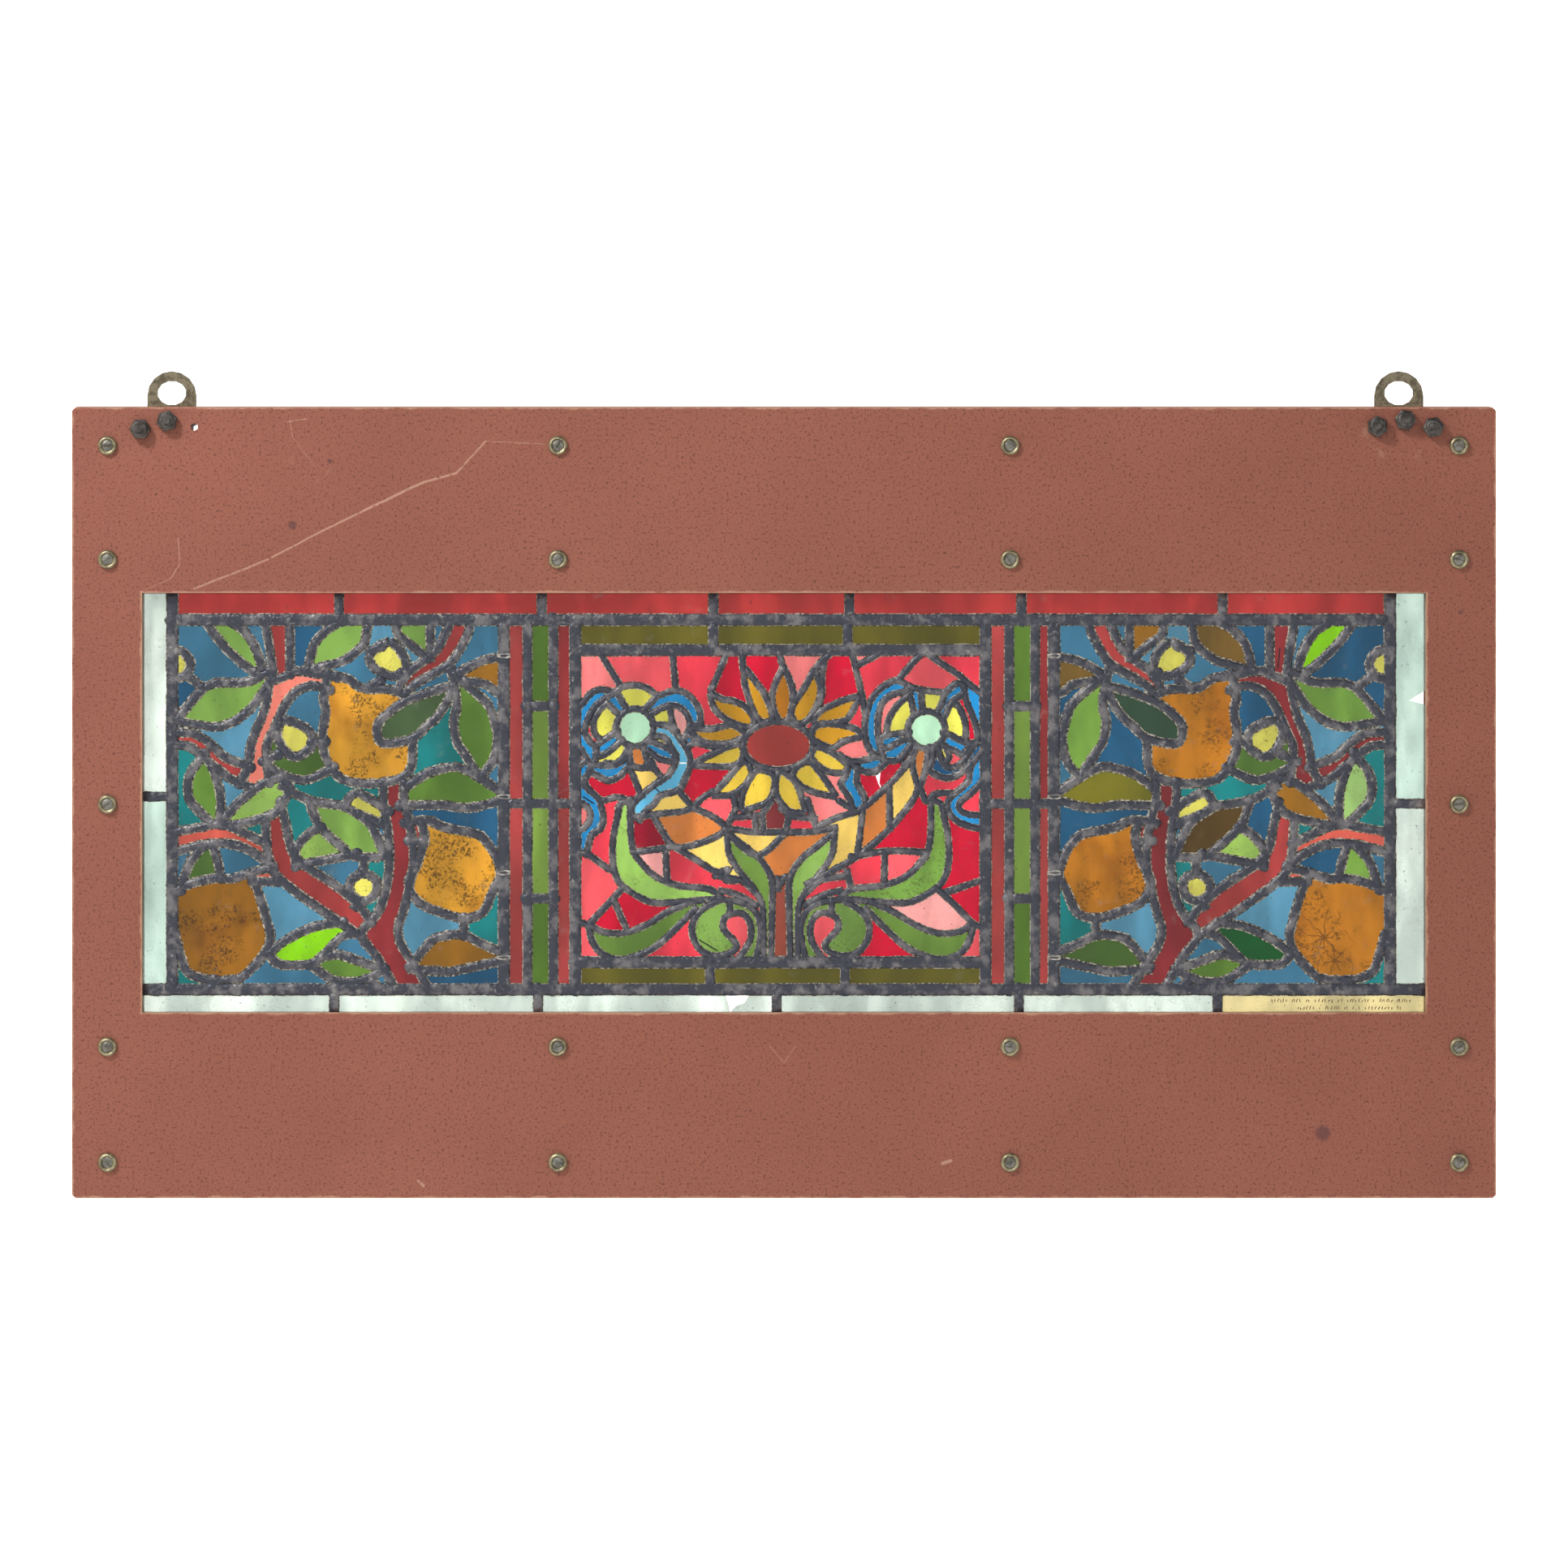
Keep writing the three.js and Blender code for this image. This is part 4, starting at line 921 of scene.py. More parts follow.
class Shade:
    """Builds a node tree in short calls."""

    def __init__(self, name):
        self.material = bpy.data.materials.new(name)
        self.material.use_nodes = True
        self.tree = self.material.node_tree
        self.nodes = self.tree.nodes
        self.shader = self.nodes["Principled BSDF"]
        self.where = self.node("ShaderNodeTexCoord").outputs["Object"]

    def node(self, kind, **settings):
        made = self.nodes.new(kind)
        for key, value in settings.items():
            setattr(made, key, value)
        return made

    def link(self, source, target):
        if isinstance(source, (int, float, tuple)):
            target.default_value = source
        else:
            self.tree.links.new(source, target)

    def maths(self, operation, first, second=0.0):
        made = self.node("ShaderNodeMath", operation=operation)
        for value, socket in zip((first, second), made.inputs):
            self.link(value, socket)
        return made.outputs[0]

    def times(self, first, second):
        return self.maths("MULTIPLY", first, second)

    def plus(self, first, second):
        return self.maths("ADD", first, second)

    def minus(self, first, second):
        return self.maths("SUBTRACT", first, second)

    def noise(self, scale, detail=3.0, rough=0.5, stretch=(1, 1, 1)):
        mapping = self.node("ShaderNodeMapping")
        mapping.inputs["Scale"].default_value = stretch
        self.link(self.where, mapping.inputs["Vector"])
        made = self.node("ShaderNodeTexNoise")
        self.link(mapping.outputs[0], made.inputs["Vector"])
        made.inputs["Scale"].default_value = scale
        made.inputs["Detail"].default_value = detail
        made.inputs["Roughness"].default_value = rough
        return made.outputs[0]

    def ramp(self, value, low, high):
        """0 below low, 1 above high, smooth between; low may be above high."""
        made = self.node("ShaderNodeMapRange", interpolation_type="SMOOTHSTEP")
        self.link(value, made.inputs["Value"])
        made.inputs["From Min"].default_value = low
        made.inputs["From Max"].default_value = high
        return made.outputs[0]

    def patches(self, scale, detail, rough, low, high):
        """0 or 1 in patches of noise, smooth at their edges."""
        return self.ramp(self.noise(scale, detail, rough), low, high)

    def mix(self, factor, first, second, mode="MIX"):
        made = self.node("ShaderNodeMix", data_type="RGBA", blend_type=mode)
        self.link(factor, made.inputs[0])
        for value, socket in ((first, made.inputs[6]), (second, made.inputs[7])):
            self.link((*value, 1) if isinstance(value, tuple) else value, socket)
        return made.outputs[2]

    def layer(self, below, mask, strength, tint):
        """A tint laid over a colour where a mask is 1."""
        return self.mix(self.times(mask, strength), below, srgb(*tint))

    def bump(self, height, distance):
        made = self.node("ShaderNodeBump")
        made.inputs["Strength"].default_value = 1.0
        made.inputs["Distance"].default_value = distance
        self.link(height, made.inputs["Height"])
        self.link(made.outputs[0], self.shader.inputs["Normal"])

    def set(self, **values):
        for key, value in values.items():
            self.link(value, self.shader.inputs[key.replace("_", " ")])
        return self.material


def window_axes(shade):
    """Two sockets: a surface point's x and z about the window's middle, in millimetres."""
    split = shade.node("ShaderNodeSeparateXYZ")
    shade.link(shade.where, split.inputs[0])
    return [
        shade.maths("DIVIDE", shade.minus(split.outputs[axis], MIDDLE[axis]), MM)
        for axis in (0, 2)
    ]


def segment_mask(shade, x, z, ends, width, wander, gaps=True):
    """1 on a line from start to end, fading beside it; it wanders and may be broken up."""
    x0, z0, x1, z1 = ends
    length = math.dist((x0, z0), (x1, z1))
    along_x, along_z = (x1 - x0) / length, (z1 - z0) / length
    dx = shade.minus(x, x0)
    dz = shade.minus(z, z0)
    along = shade.plus(shade.times(dx, along_x), shade.times(dz, along_z))
    across = shade.minus(shade.times(dz, along_x), shade.times(dx, along_z))
    past = shade.maths("ABSOLUTE", shade.minus(along, length / 2))
    over = shade.maths("MAXIMUM", shade.minus(past, length / 2), 0.0)
    sway = shade.minus(shade.noise(25 if gaps else 120, 3, 0.6), 0.5)
    beside = shade.maths("ABSOLUTE", shade.plus(across, shade.times(sway, wander)))
    line = shade.ramp(shade.plus(over, beside), width, width * 0.3)
    if not gaps:
        return line
    return shade.times(line, shade.patches(300, 3, 0.7, 0.3, 0.48))


def spokes(shade, x, z, centre, reach, count):
    """1 on thin wandering lines that run out from a point."""
    dx = shade.minus(x, centre[0])
    dz = shade.minus(z, centre[1])
    squares = shade.plus(shade.times(dx, dx), shade.times(dz, dz))
    away = shade.maths("SQRT", squares)
    bend = shade.times(shade.minus(shade.noise(45, 4, 0.65), 0.5), 2.4)
    angle = shade.plus(shade.maths("ARCTAN2", dz, dx), bend)
    wave = shade.maths("SINE", shade.times(angle, count / 2))
    beside = shade.times(shade.maths("ABSOLUTE", wave), away)
    line = shade.ramp(beside, 0.55 * count / 2, 0.2 * count / 2)
    return shade.times(line, shade.ramp(away, reach, reach * 0.6))


def glass_material(name):
    """Streaky coloured glass; each pane brings its colour and, as alpha, its age."""
    shade = Shade(name)
    pane = shade.node("ShaderNodeAttribute", attribute_name="pane").outputs
    base, age = pane["Color"], pane["Alpha"]
    streak = shade.noise(28, 3, 0.6, (1, 1, 0.35))
    lighter = shade.mix(1.0, base, (1.3, 1.26, 1.26), "MULTIPLY")
    darker = shade.mix(1.0, base, (0.72, 0.72, 0.72), "MULTIPLY")
    colour = shade.mix(shade.ramp(streak, 0.35, 0.68), darker, lighter)
    stain = shade.times(shade.patches(24, 2, 0.6, 0.48, 0.72), age)
    stained = shade.mix(1.0, colour, (0.5, 0.4, 0.3), "MULTIPLY")
    colour = shade.mix(shade.times(stain, 0.75), colour, stained)
    cluster = shade.patches(55, 3, 0.65, 0.46, 0.6)
    grain = shade.patches(560, 2, 0.6, 0.52, 0.58)
    specks = shade.times(shade.times(cluster, grain), age)
    colour = shade.layer(colour, specks, 0.9, (52, 30, 10))
    pinhole = shade.patches(480, 1, 0.5, 0.74, 0.77)
    colour = shade.layer(colour, pinhole, 0.75, (30, 26, 24))
    dust = shade.patches(70, 4, 0.72, 0.6, 0.74)
    colour = shade.layer(colour, dust, 0.22, (176, 172, 160))
    x, z = window_axes(shade)
    for centre, reach, count in PAINTED_STARS:
        lines = spokes(shade, x, z, centre, reach, count)
        colour = shade.layer(colour, lines, 0.7, (70, 36, 8))
    for ends, tone in CRACKS:
        colour = shade.mix(segment_mask(shade, x, z, ends, 0.75, 1.2, False), colour, srgb(*tone))
    shade.bump(shade.noise(45, 2, 0.5), 0.0008)
    return shade.set(Base_Color=colour, Roughness=0.16, IOR=1.5, Transmission_Weight=0.72)


def lead_material(name):
    """Oxidised lead: dull blue grey, paler and gritty along its rubbed edges and in patches."""
    shade = Shade(name)
    low_edge = shade.node("ShaderNodeAttribute", attribute_name="rub").outputs["Fac"]
    patch = shade.patches(70, 3, 0.65, 0.46, 0.66)
    base = shade.mix(patch, srgb(66, 68, 78), srgb(124, 121, 122))
    grit = shade.patches(650, 2, 0.65, 0.5, 0.64)
    edge = shade.times(shade.ramp(low_edge, 0.2, 0.6), grit)
    edged = shade.layer(base, edge, 0.8, (184, 177, 164))
    streak = shade.patches(160, 4, 0.7, 0.58, 0.72)
    rubbed = shade.layer(edged, streak, 0.8, (162, 157, 150))
    speck = shade.patches(900, 2, 0.5, 0.66, 0.7)
    speckled = shade.layer(rubbed, speck, 0.6, (40, 40, 46))
    shade.bump(shade.noise(240, 3, 0.65), 0.0012)
    return shade.set(Base_Color=speckled, Metallic=0.35, Roughness=0.36)


def cement_and_shadow_material():
    """The dark gritty cement that shows along the cames; its dark tone is also painted shadow that the
    cames cast on the glass.
    """
    shade = Shade("cement_and_painted_shadow")
    grain = shade.patches(420, 4, 0.6, 0.44, 0.6)
    # Dark grains are dark cement and painted shadow beside the cames; pale grains are cement residue.
    mixed = shade.mix(grain, srgb(66, 61, 58), srgb(196, 188, 170))
    shade.bump(shade.noise(800, 3, 0.5), 0.0003)
    return shade.set(Base_Color=mixed, Roughness=0.9)


def board_material(name, plain=False):
    """Oiled hardboard: speckled fibres, blotches, pale scuffs and worn light edges."""
    shade = Shade(name)
    fine = shade.noise(1200, 2, 0.5)
    coarse = shade.noise(520, 3, 0.7)
    tone = shade.mix(shade.patches(6, 4, 0.6, 0.3, 0.7), srgb(146, 84, 65), srgb(154, 90, 70))
    specks = shade.ramp(coarse, 0.54, 0.64)
    speckled = shade.layer(tone, specks, 0.95, (104, 54, 42))
    grains = shade.ramp(fine, 0.6, 0.72)
    grained = shade.layer(speckled, grains, 0.6, (192, 132, 106))
    scuff = shade.patches(14, 5, 0.75, 0.66, 0.74)
    scuffed = shade.layer(grained, scuff, 0.3, (196, 150, 125))
    colour = scuffed if plain else board_marks(shade, scuffed)
    shade.bump(coarse, 0.0003)
    return shade.set(Base_Color=colour, Roughness=0.62)


def board_marks(shade, colour):
    """Worn edges, scratches and stains, each at its own place on the front board."""
    x, z = window_axes(shade)
    ragged = shade.times(shade.minus(shade.noise(90, 4, 0.7), 0.5), RAGGED)
    for half_x, half_z, way in ((BOARD_X, BOARD_Z, 1), (SIGHT_X, SIGHT_Z, -1)):
        off_x = shade.minus(shade.maths("ABSOLUTE", x), half_x)
        off_z = shade.minus(shade.maths("ABSOLUTE", z), half_z)
        depth = shade.maths("MAXIMUM", off_x, off_z)
        inward = shade.times(depth, float(-way))
        worn = shade.ramp(shade.plus(inward, ragged), 1.6, 0.2)
        colour = shade.layer(colour, worn, 0.65, (205, 160, 130))
    for x0, z0, x1, z1, width, strength in SCRATCHES:
        mask = segment_mask(shade, x, z, (x0, z0, x1, z1), width, WANDER)
        colour = shade.layer(colour, mask, strength, (208, 164, 138))
    for sx, sz, radius in STAINS:
        squares = shade.plus(shade.maths("POWER", shade.minus(x, sx), 2.0),
                             shade.maths("POWER", shade.minus(z, sz), 2.0))
        reach = shade.plus(shade.maths("SQRT", squares), ragged)
        mask = shade.ramp(reach, radius, radius * 0.4)
        colour = shade.layer(colour, mask, 0.7, (92, 52, 55))
    return colour


def metal_material(name, light, dark, rough=0.4, metallic=0.8):
    """Dull used metal: two tones in blotches, fine scratches and pits."""
    shade = Shade(name)
    blotch = shade.patches(260, 5, 0.65, 0.4, 0.62)
    base = shade.mix(blotch, light, dark)
    pits = shade.patches(1400, 3, 0.6, 0.62, 0.72)
    mixed = shade.mix(shade.times(pits, 0.5), base, tuple(v * 0.4 for v in dark))
    shade.bump(shade.noise(900, 4, 0.6), 0.0002)
    return shade.set(Base_Color=mixed, Metallic=metallic, Roughness=rough)


# -------------------------------------------------------------- the window

glass = glass_material("leaded_glass")
lead = lead_material("oxidised_lead")

main_bars, thin_bars = grid_lines()
left_curves = clipped(LEFT_PICTURE, side_lines())
flipped = [[Vector((SIDE_MIRROR - p[0], p[1])) for p in line] for line in side_lines()]
right_curves = clipped(RIGHT_PICTURE, flipped)
side_curves = left_curves + right_curves
centre_curves = clipped(CENTRE_PICTURE, centre_lines())


def other_side(groups, total):
    """Seeds mirrored to the other side."""
    return [(paint, [(total - x, z) for x, z in places]) for paint, places in groups.items()]


def fruit_nodes(side):
    return [f"fruit_glass_{side}_{i}" for i in (1, 2, 3)]


def within_bars(rect):
    """The outline of a picture between its bars."""
    x0, x1, z0, z1 = rect
    gap = (BAR - HIDDEN) / 2
    return [Vector(p) for p in ((x0 + gap, z0 + gap), (x1 - gap, z0 + gap),
                                (x1 - gap, z1 - gap), (x0 + gap, z1 - gap))]


def middle_of(outline):
    """The mean of a flat outline's points."""
    count = len(outline) // 2
    return sum(outline[::2]) / count, sum(outline[1::2]) / count


petal_seeds = [(paint, [middle_of(petal) for petal in group]) for paint, group in PETALS.items()]
centre_seeds = [
    *HALF_GLASS.items(), *other_side(HALF_GLASS, CENTRE_MIRROR), *LEFT_GLASS.items(),
    *RIGHT_PANES.items(), *petal_seeds, ("heart", [HEART[:2]]),
]
sheets = [
    ("glass_left", LEFT_PICTURE, left_curves, LEAD, list(SIDE_GLASS.items()), "blue",
     "glass_blue", ["picture_glass_left", *fruit_nodes("left")], ()),
    ("glass_right", RIGHT_PICTURE, right_curves, LEAD,
     other_side(SIDE_GLASS, SIDE_MIRROR) + other_side(RIGHT_GLASS, SIDE_MIRROR), "blue",
     "glass_blue", ["picture_glass_right", *fruit_nodes("right")], ()),
    ("glass_centre", CENTRE_PICTURE, centre_curves, FINE_LEAD, centre_seeds, "red",
     "glass_red", ["picture_glass_centre", "sunflower_heart_glass"],
     [curve_points(BREAK + BREAK[:2], steps=1)]),
]
for name, rect, lines, width, seeds, ground, slot, nodes, breaks in sheets:
    glass_sheet(name, rect, lines, width - HIDDEN, seeds, ground, glass, nodes,
                [within_bars(rect), *breaks])


def stile_seeds(outer, inner, reds, greens):
    """Seeds of a stile: a red column each side of a green one."""
    turn = 1 if outer < inner else -1
    columns = [outer + turn * step for step in (10, 25, 42)]
    seeds = [(red, [(columns[0 if i < 2 else 2], z)]) for i, (red, z) in
             enumerate(zip(reds, (60, -60, 60, -60)))]
    seeds += [(green, [(columns[1], z)]) for green, z in zip(greens, (95, 30, -30, -95))]
    return seeds


for side, (outer, inner) in (("left", LEFT_STILE), ("right", RIGHT_STILE)):
    rect = (outer, inner, BOTTOM_BAR, TOP_BAR)
    reds = ["stile_coral", "stile_coral", "stile_red", "stile_coral"]
    greens = ["stile_green", "stile_light", "stile_light", "stile_green"]
    glass_sheet(f"stile_{side}", rect, clipped(rect, thin_bars), THIN_BAR - HIDDEN,
                stile_seeds(outer, inner, reds, greens), "stile_red", glass,
                [f"stile_glass_{side}"])
for side, z0, z1 in (("top", CENTRE_TOP, TOP_BAR), ("bottom", BOTTOM_BAR, CENTRE_BOTTOM)):
    rect = (LEFT_STILE[1], RIGHT_STILE[0], z0, z1)
    glass_sheet(f"band_{side}", rect, clipped(rect, thin_bars), THIN_BAR - HIDDEN, [], "band",
                glass, [f"band_glass_{side}"])
edge_x, edge_z = SIGHT_X + 0.5, SIGHT_Z + 0.5
borders = {
    "top": ((LEFT_BAR, RIGHT_BAR, TOP_BAR, edge_z), "top_red", [], "glass_rust", 7, []),
    "bottom": ((-edge_x, edge_x, -edge_z, BOTTOM_BAR), "paler", [("signed", [(360, -135)])],
               "glass_pale", 6, [[-37, -145, -33, -139, -27, -137, -24, -132, -40, -132, -38, -138]]),
    "left": ((-edge_x, LEFT_BAR, BOTTOM_BAR, edge_z), "pale", [("paler", [(-430, 60)])],
             "glass_pale", 2, []),
    "right": ((RIGHT_BAR, edge_x, BOTTOM_BAR, edge_z), "pale", [("paler", [(430, -60)])],
              "glass_pale", 2, [[440, 77, 428, 70, 440, 67]]),
}
for side, (rect, ground, seeds, slot, count, breaks) in borders.items():
    edges_of_breaks = [curve_points(line + line[:2], steps=1) for line in breaks]
    nodes = [f"border_glass_{side}_{i + 1}" for i in range(count)]
    glass_sheet(f"border_{side}", rect, clipped(rect, thin_bars), THIN_BAR - HIDDEN,
                [*seeds, ("hole", [middle_of(line) for line in breaks])], ground, glass,
                nodes, edges_of_breaks)

# The cames on the front and the rear: lines, width, crown, profile, step and rubbed edge
cames = [
    (side_curves, LEAD, CROWN, CAME_PROFILE, 3.2, 1.0),
    (centre_curves, FINE_LEAD, CROWN, CAME_PROFILE, 2.6, 0.6),
    (main_bars, BAR, CROWN - 0.1, FLAT_PROFILE, 6, 1.0),
    (thin_bars, THIN_BAR, CROWN - 0.25, FLAT_PROFILE, 6, 1.0),
]
# The solder at their joints: lines, least and greatest radius
solder = [(main_bars + thin_bars, 4.0, 5.2), (side_curves, 3.2, 4.2), (centre_curves, 2.3, 2.9)]
for side, face in (("front", -1), ("rear", 1)):
    mesh = bmesh.new()
    for lines, width, crown, profile, step, rubbed in cames:
        for line in lines:
            sweep(mesh, line, width, crown, profile, step, face=face, rubbed=rubbed)
    for lines, low_size, high_size in solder:
        for joint in spread(joints_of(lines), 6):
            if abs(joint.x) < SIGHT_X - 3 and abs(joint.y) < SIGHT_Z - 3:
                blob(mesh, joint, random.uniform(low_size, high_size), CROWN + 0.1, face)
    bmesh.ops.recalc_face_normals(mesh, faces=mesh.faces)
    mesh_piece(f"cames_{side}", mesh, lead, ["leading"], smooth=True)

# The cement beside the cames on the front, a dark strip that is also painted shadow of the cames on the
# glass: lines, width, height, raggedness and step
cement_and_shadow_lines = [
    (side_curves, LEAD + 1.3, 0.35, 0.9, 1.6), (centre_curves, FINE_LEAD + 0.8, 0.35, 0.6, 1.8),
    (main_bars, BAR + 1.0, 0.3, 0.5, 4), (thin_bars, THIN_BAR + 0.9, 0.3, 0.5, 4),
]
mesh = bmesh.new()
for lines, width, rise, ragged, step in cement_and_shadow_lines:
    for line in lines:
        sweep(mesh, line, width, GLASS + rise, CEMENT_PROFILE, step, ragged=ragged)
mesh_piece("cement_and_shadow_lines", mesh, cement_and_shadow_material())

# Cracked solder where the side pictures' leaf tips meet the stiles
mesh = bmesh.new()
for x in (LEFT_STILE[0], RIGHT_STILE[1]):
    for z in CRACKED_JOINTS:
        for lift in (1.2, -1.1):
            ridge = [(x - 4.6, z + 0.3 * lift), (x - 1.5, z + lift), (x + 1.8, z + 1.1 * lift),
                     (x + 4.6, z + 0.5 * lift)]
            sweep(mesh, ridge, 1.3, HIGHEST, CAME_PROFILE, 0.7, ragged=0.5, base=CROWN - 0.5)
pale_solder = metal_material("pale_solder", srgb(196, 190, 178), srgb(120, 116, 112), 0.6, 0.2)
mesh_piece("cracked_solder", mesh, pale_solder)

# Where the real window has writing there are rows of strokes that spell nothing
mesh = bmesh.new()
for row, start, end in ((-136.4, 334, 428), (-141.4, 352, 424)):
    x = start
    while x < end:
        lean, tall = random.uniform(-0.4, 1.1), random.uniform(1.3, 2.5)
        stroke = [(x, row), (x + 0.2 * lean, row + tall / 2), (x + lean, row + tall)]
        sweep(mesh, stroke, 0.55, GLASS + 0.1, CEMENT_PROFILE, 0.8)
        x += random.choice((1.5, 1.9, 2.4, 4.2))
stroke_paint = metal_material("stroke_paint", srgb(96, 46, 34), srgb(140, 88, 60), 0.7, 0.0)
mesh_piece("scratched_strokes", mesh, stroke_paint)

# ------------------------------------------------------------------ boards

steel = metal_material("dark_steel", srgb(105, 100, 95), srgb(70, 66, 62), 0.45, 0.7)
brass = metal_material("dull_brass", srgb(172, 162, 128), srgb(128, 118, 92), 0.38, 0.75)
grey = metal_material("screw_steel", srgb(150, 147, 138), srgb(112, 108, 98), 0.4, 0.75)
eye_metal = metal_material("eye_metal", srgb(150, 140, 115), srgb(110, 100, 82), 0.42, 0.75)
finishes = {
    "front_board": board_material("hardboard_front"),
    "filler_board": board_material("hardboard_filler", plain=True),
    "back_board": board_material("hardboard_back", plain=True),
    "hanging_eye_left": eye_metal, "hanging_eye_right": eye_metal,
}
for node, finish in finishes.items():
    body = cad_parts[node]
    body.data.materials.clear()
    body.data.materials.append(finish)
for node in ("hanging_eye_left", "hanging_eye_right"):
    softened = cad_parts[node].modifiers.new("soft_edges", "BEVEL")
    softened.width = 0.0004
    softened.segments = 2

# ------------------------------------------------------------------ fixings


def spun(profile, centre, sides=32):
    """A turned mesh about an axis along Y: (radius, y) pairs, front first."""
    mesh = bmesh.new()
    rows = []
    for radius, y in profile:
        if radius < 1e-6:
            rows.append([mesh.verts.new(centre + Vector((0, y, 0)) * MM)])
            continue
        rows.append([
            mesh.verts.new(centre + Vector((radius * math.cos(a), y, radius * math.sin(a))) * MM)
            for a in turns(sides)
        ])
    join_rings(mesh, rows, sides)
    bmesh.ops.recalc_face_normals(mesh, faces=mesh.faces)
    return mesh


def metal_piece(name, mesh, material, stands_for=(), sharp=35):
    """A new piece that is shaded smooth up to an angle."""
    piece = mesh_piece(name, mesh, material, stands_for, smooth=True)
    piece.data.set_sharp_from_angle(angle=math.radians(sharp))
    return piece


SLOT_TURNS = {
    ("top", 1): 6, ("top", 2): 60, ("top", 3): -50, ("top", 4): 15,
    ("upper", 1): 40, ("upper", 2): 20, ("upper", 3): -35, ("upper", 4): -20,
    ("middle", 1): 30, ("middle", 4): 5, ("lower", 1): -30, ("lower", 2): 25,
    ("lower", 3): -10, ("lower", 4): 35, ("bottom", 1): -60, ("bottom", 2): -15,
    ("bottom", 3): 20, ("bottom", 4): 50,
}
CUP = [(3.6, -1.2), (4.4, -2.6), (5.1, -2.9), (5.9, -2.5), (6.45, -1.6), (6.65, -0.6), (6.6, 0), (0, 0)]
HEAD = [(0, -2.35), (2.2, -2.25), (3.6, -1.95), (4.3, -1.5), (4.4, -1.0), (3.2, 0), (0, 0)]


def on_board(node):
    """A fixing's middle on the front board's face, and its front and rear in millimetres from it."""
    lo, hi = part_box(node)
    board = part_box("front_board")[0].y
    centre = Vector(((lo.x + hi.x) / 2, board, (lo.z + hi.z) / 2))
    return centre, (lo.y - board) / MM, (hi.y - board) / MM


def cup_screw(row, column):
    """A cup washer and a slotted screw head in it, on the CAD screw's place."""
    node = f"cup_screw_{row}_{column}"
    centre = on_board(node)[0]
    metal_piece(f"{node}_cup", spun(CUP, centre), brass, [node])
    head = metal_piece(f"{node}_head", spun(HEAD, centre), grey)
    cutter = bmesh.new()
    turn = Matrix.Rotation(math.radians(-SLOT_TURNS[row, column]), 4, "Y")
    size = Matrix.Diagonal((10 * MM, 2.0 * MM, 1.05 * MM, 1))
    shift = Matrix.Translation(centre + Vector((0, -2.5 * MM, 0)))
    bmesh.ops.create_cube(cutter, size=1, matrix=shift @ turn @ size)
    tool = new_object("slot_cutter", mesh_data_of("slot_cutter", cutter))
    groove = head.modifiers.new("slot", "BOOLEAN")
    groove.operation = "DIFFERENCE"
    groove.object = tool
    graph = bpy.context.evaluated_depsgraph_get()
    carved = bpy.data.meshes.new_from_object(head.evaluated_get(graph))
    head.modifiers.clear()
    head.data = carved
    bpy.data.objects.remove(tool)


for row, column in SLOT_TURNS:
    cup_screw(row, column)


def nut(node, index):
    """A locking nut: a bevelled hexagon, a domed collar with its ring, and the bolt's end."""
    centre, top, back = on_board(node)
    profile = [
        (0, top), (2.2, top), (2.6, top + 0.4), (2.6, top + 1.6), (3.3, top + 1.7),
        (4.2, top + 1.6), (5.0, top + 2.2), (5.2, top + 3.0), (5.3, top + 3.4),
    ]
    metal_piece(f"{node}_collar", spun([*profile, (5.3, -2), (0, -2)], centre), steel,
                [node])
    hexagon = bmesh.new()
    rings = []
    for radius, y in ((6.0, top + 3.3), (7.3, top + 4.3), (7.3, -0.5), (6.6, -0.1)):
        rings.append([
            hexagon.verts.new(centre + Vector((
                radius * math.cos(a), y, radius * math.sin(a))) * MM)
            for a in (math.radians(60 * i + 17 * index) for i in range(6))
        ])
    join_rings(hexagon, rings, 6)
    hexagon.faces.new(rings[0])
    hexagon.faces.new(rings[-1])
    bmesh.ops.recalc_face_normals(hexagon, faces=hexagon.faces)
    metal_piece(f"{node}_hexagon", hexagon, steel, sharp=25)
    tail = [(0, back), (2.6, back - 0.1), (4.4, back - 0.8), (5.2, back - 1.9), (5.2, back - 3),
            (2.5, back - 3.1), (2.5, -1), (0, -1)]
    metal_piece(f"{node}_tail", spun(tail, centre), steel)


for index, node in enumerate(n for n in sorted(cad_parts) if n.startswith("hanger_bolt")):
    nut(node, index)

# ------------------------------------------------------------------- stage


def stage_material():
    """Pale, and glowing softly, more behind the window than in front of it."""
    shade = Shade("pale_floor_paint")
    split = shade.node("ShaderNodeSeparateXYZ")
    shade.link(shade.where, split.inputs[0])
    behind = shade.ramp(split.outputs[1], -1.5, 1.5)
    glow = shade.plus(shade.times(behind, 0.7), 0.06)
    return shade.set(Base_Color=(0.9, 0.9, 0.9, 1), Roughness=0.9, Emission_Color=(1, 1, 1, 1),
                     Emission_Strength=glow)


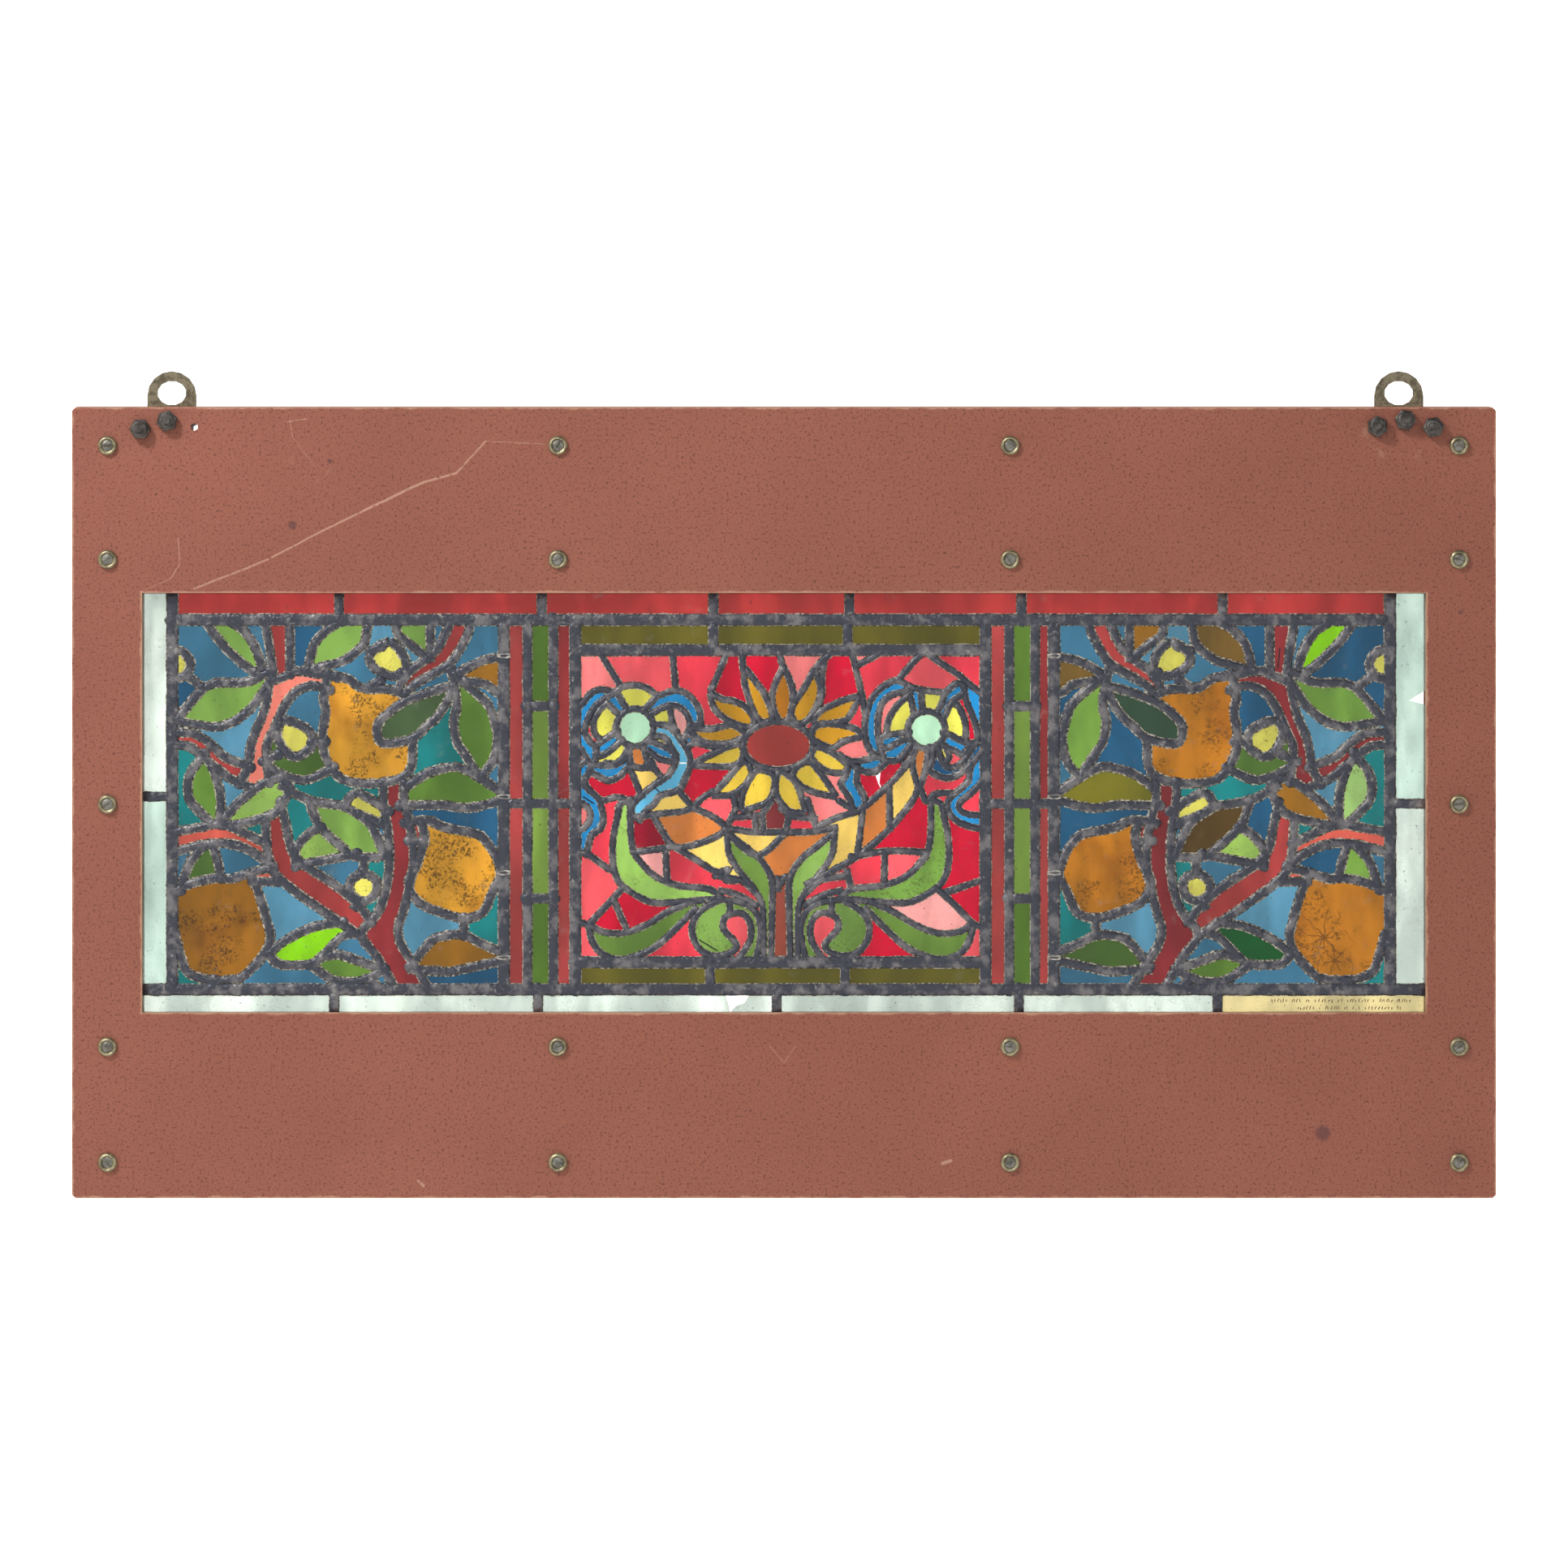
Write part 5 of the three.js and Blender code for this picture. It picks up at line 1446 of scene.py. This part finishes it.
# A wide round dish: a flat floor whose rim curves up to a wall beyond every camera
FLOOR = MIDDLE.z - 0.62
INNER, REACH, BEND, WALL_TOP = 0.5, 7.0, 2.5, 7.0
AROUND, UPWARD = 32, 7
dish = [(INNER, FLOOR), (REACH - BEND, FLOOR)]
dish += [
    (REACH - BEND + BEND * math.sin(a), FLOOR + BEND - BEND * math.cos(a))
    for a in (math.pi / 2 * i / UPWARD for i in range(1, UPWARD + 1))
]
dish.append((REACH, FLOOR + WALL_TOP))
verts = [
    (MIDDLE.x + reach * math.cos(a), MIDDLE.y + reach * math.sin(a), z)
    for reach, z in dish for a in turns(AROUND)
]
faces = [tuple(range(AROUND))]
faces += [
    (row * AROUND + i, (row + 1) * AROUND + i,
     (row + 1) * AROUND + (i + 1) % AROUND, row * AROUND + (i + 1) % AROUND)
    for row in range(len(dish) - 1) for i in range(AROUND)
]
data = bpy.data.meshes.new("pale_floor")
data.from_pydata(verts, [], faces)
data.materials.append(stage_material())
data.shade_smooth()
new_object("pale_floor", data)

DISTANCE = 4.0  # from the camera to the window
VIEW_WIDTH = 1.0733  # what the camera sees across, at that distance
FILM = 36  # the width of the camera's film, in millimetres
RAISED = 12.8  # how far the camera stands above the window's middle, in millimetres
lens_data = bpy.data.cameras.new("camera")
camera = new_object("camera", lens_data)
camera.location = place(0, 0, RAISED) - Vector((0, DISTANCE, 0))
camera.rotation_euler = (math.pi / 2, 0, 0)
lens_data.sensor_width = FILM
lens_data.lens = FILM * DISTANCE / VIEW_WIDTH
bpy.context.scene.camera = camera


def soft_light(name, at, size, power):
    """A square light that faces the window's middle."""
    data = bpy.data.lights.new(name, "AREA")
    data.size = size
    data.energy = power
    light = new_object(name, data)
    light.location = at
    light.rotation_euler = (MIDDLE - Vector(at)).to_track_quat("-Z", "Y").to_euler()


soft_light("key", (-1.6, -1.5, 1.7), 0.4, 56)
soft_light("fill", (1.8, -2.6, 0.3), 2.2, 3)
world = bpy.data.worlds.new("studio")
world.use_nodes = True
background = world.node_tree.nodes["Background"]
background.inputs["Color"].default_value = (1, 1, 1, 1)
background.inputs["Strength"].default_value = 0.05
bpy.context.scene.world = world
bpy.context.scene.view_settings.view_transform = "Standard"
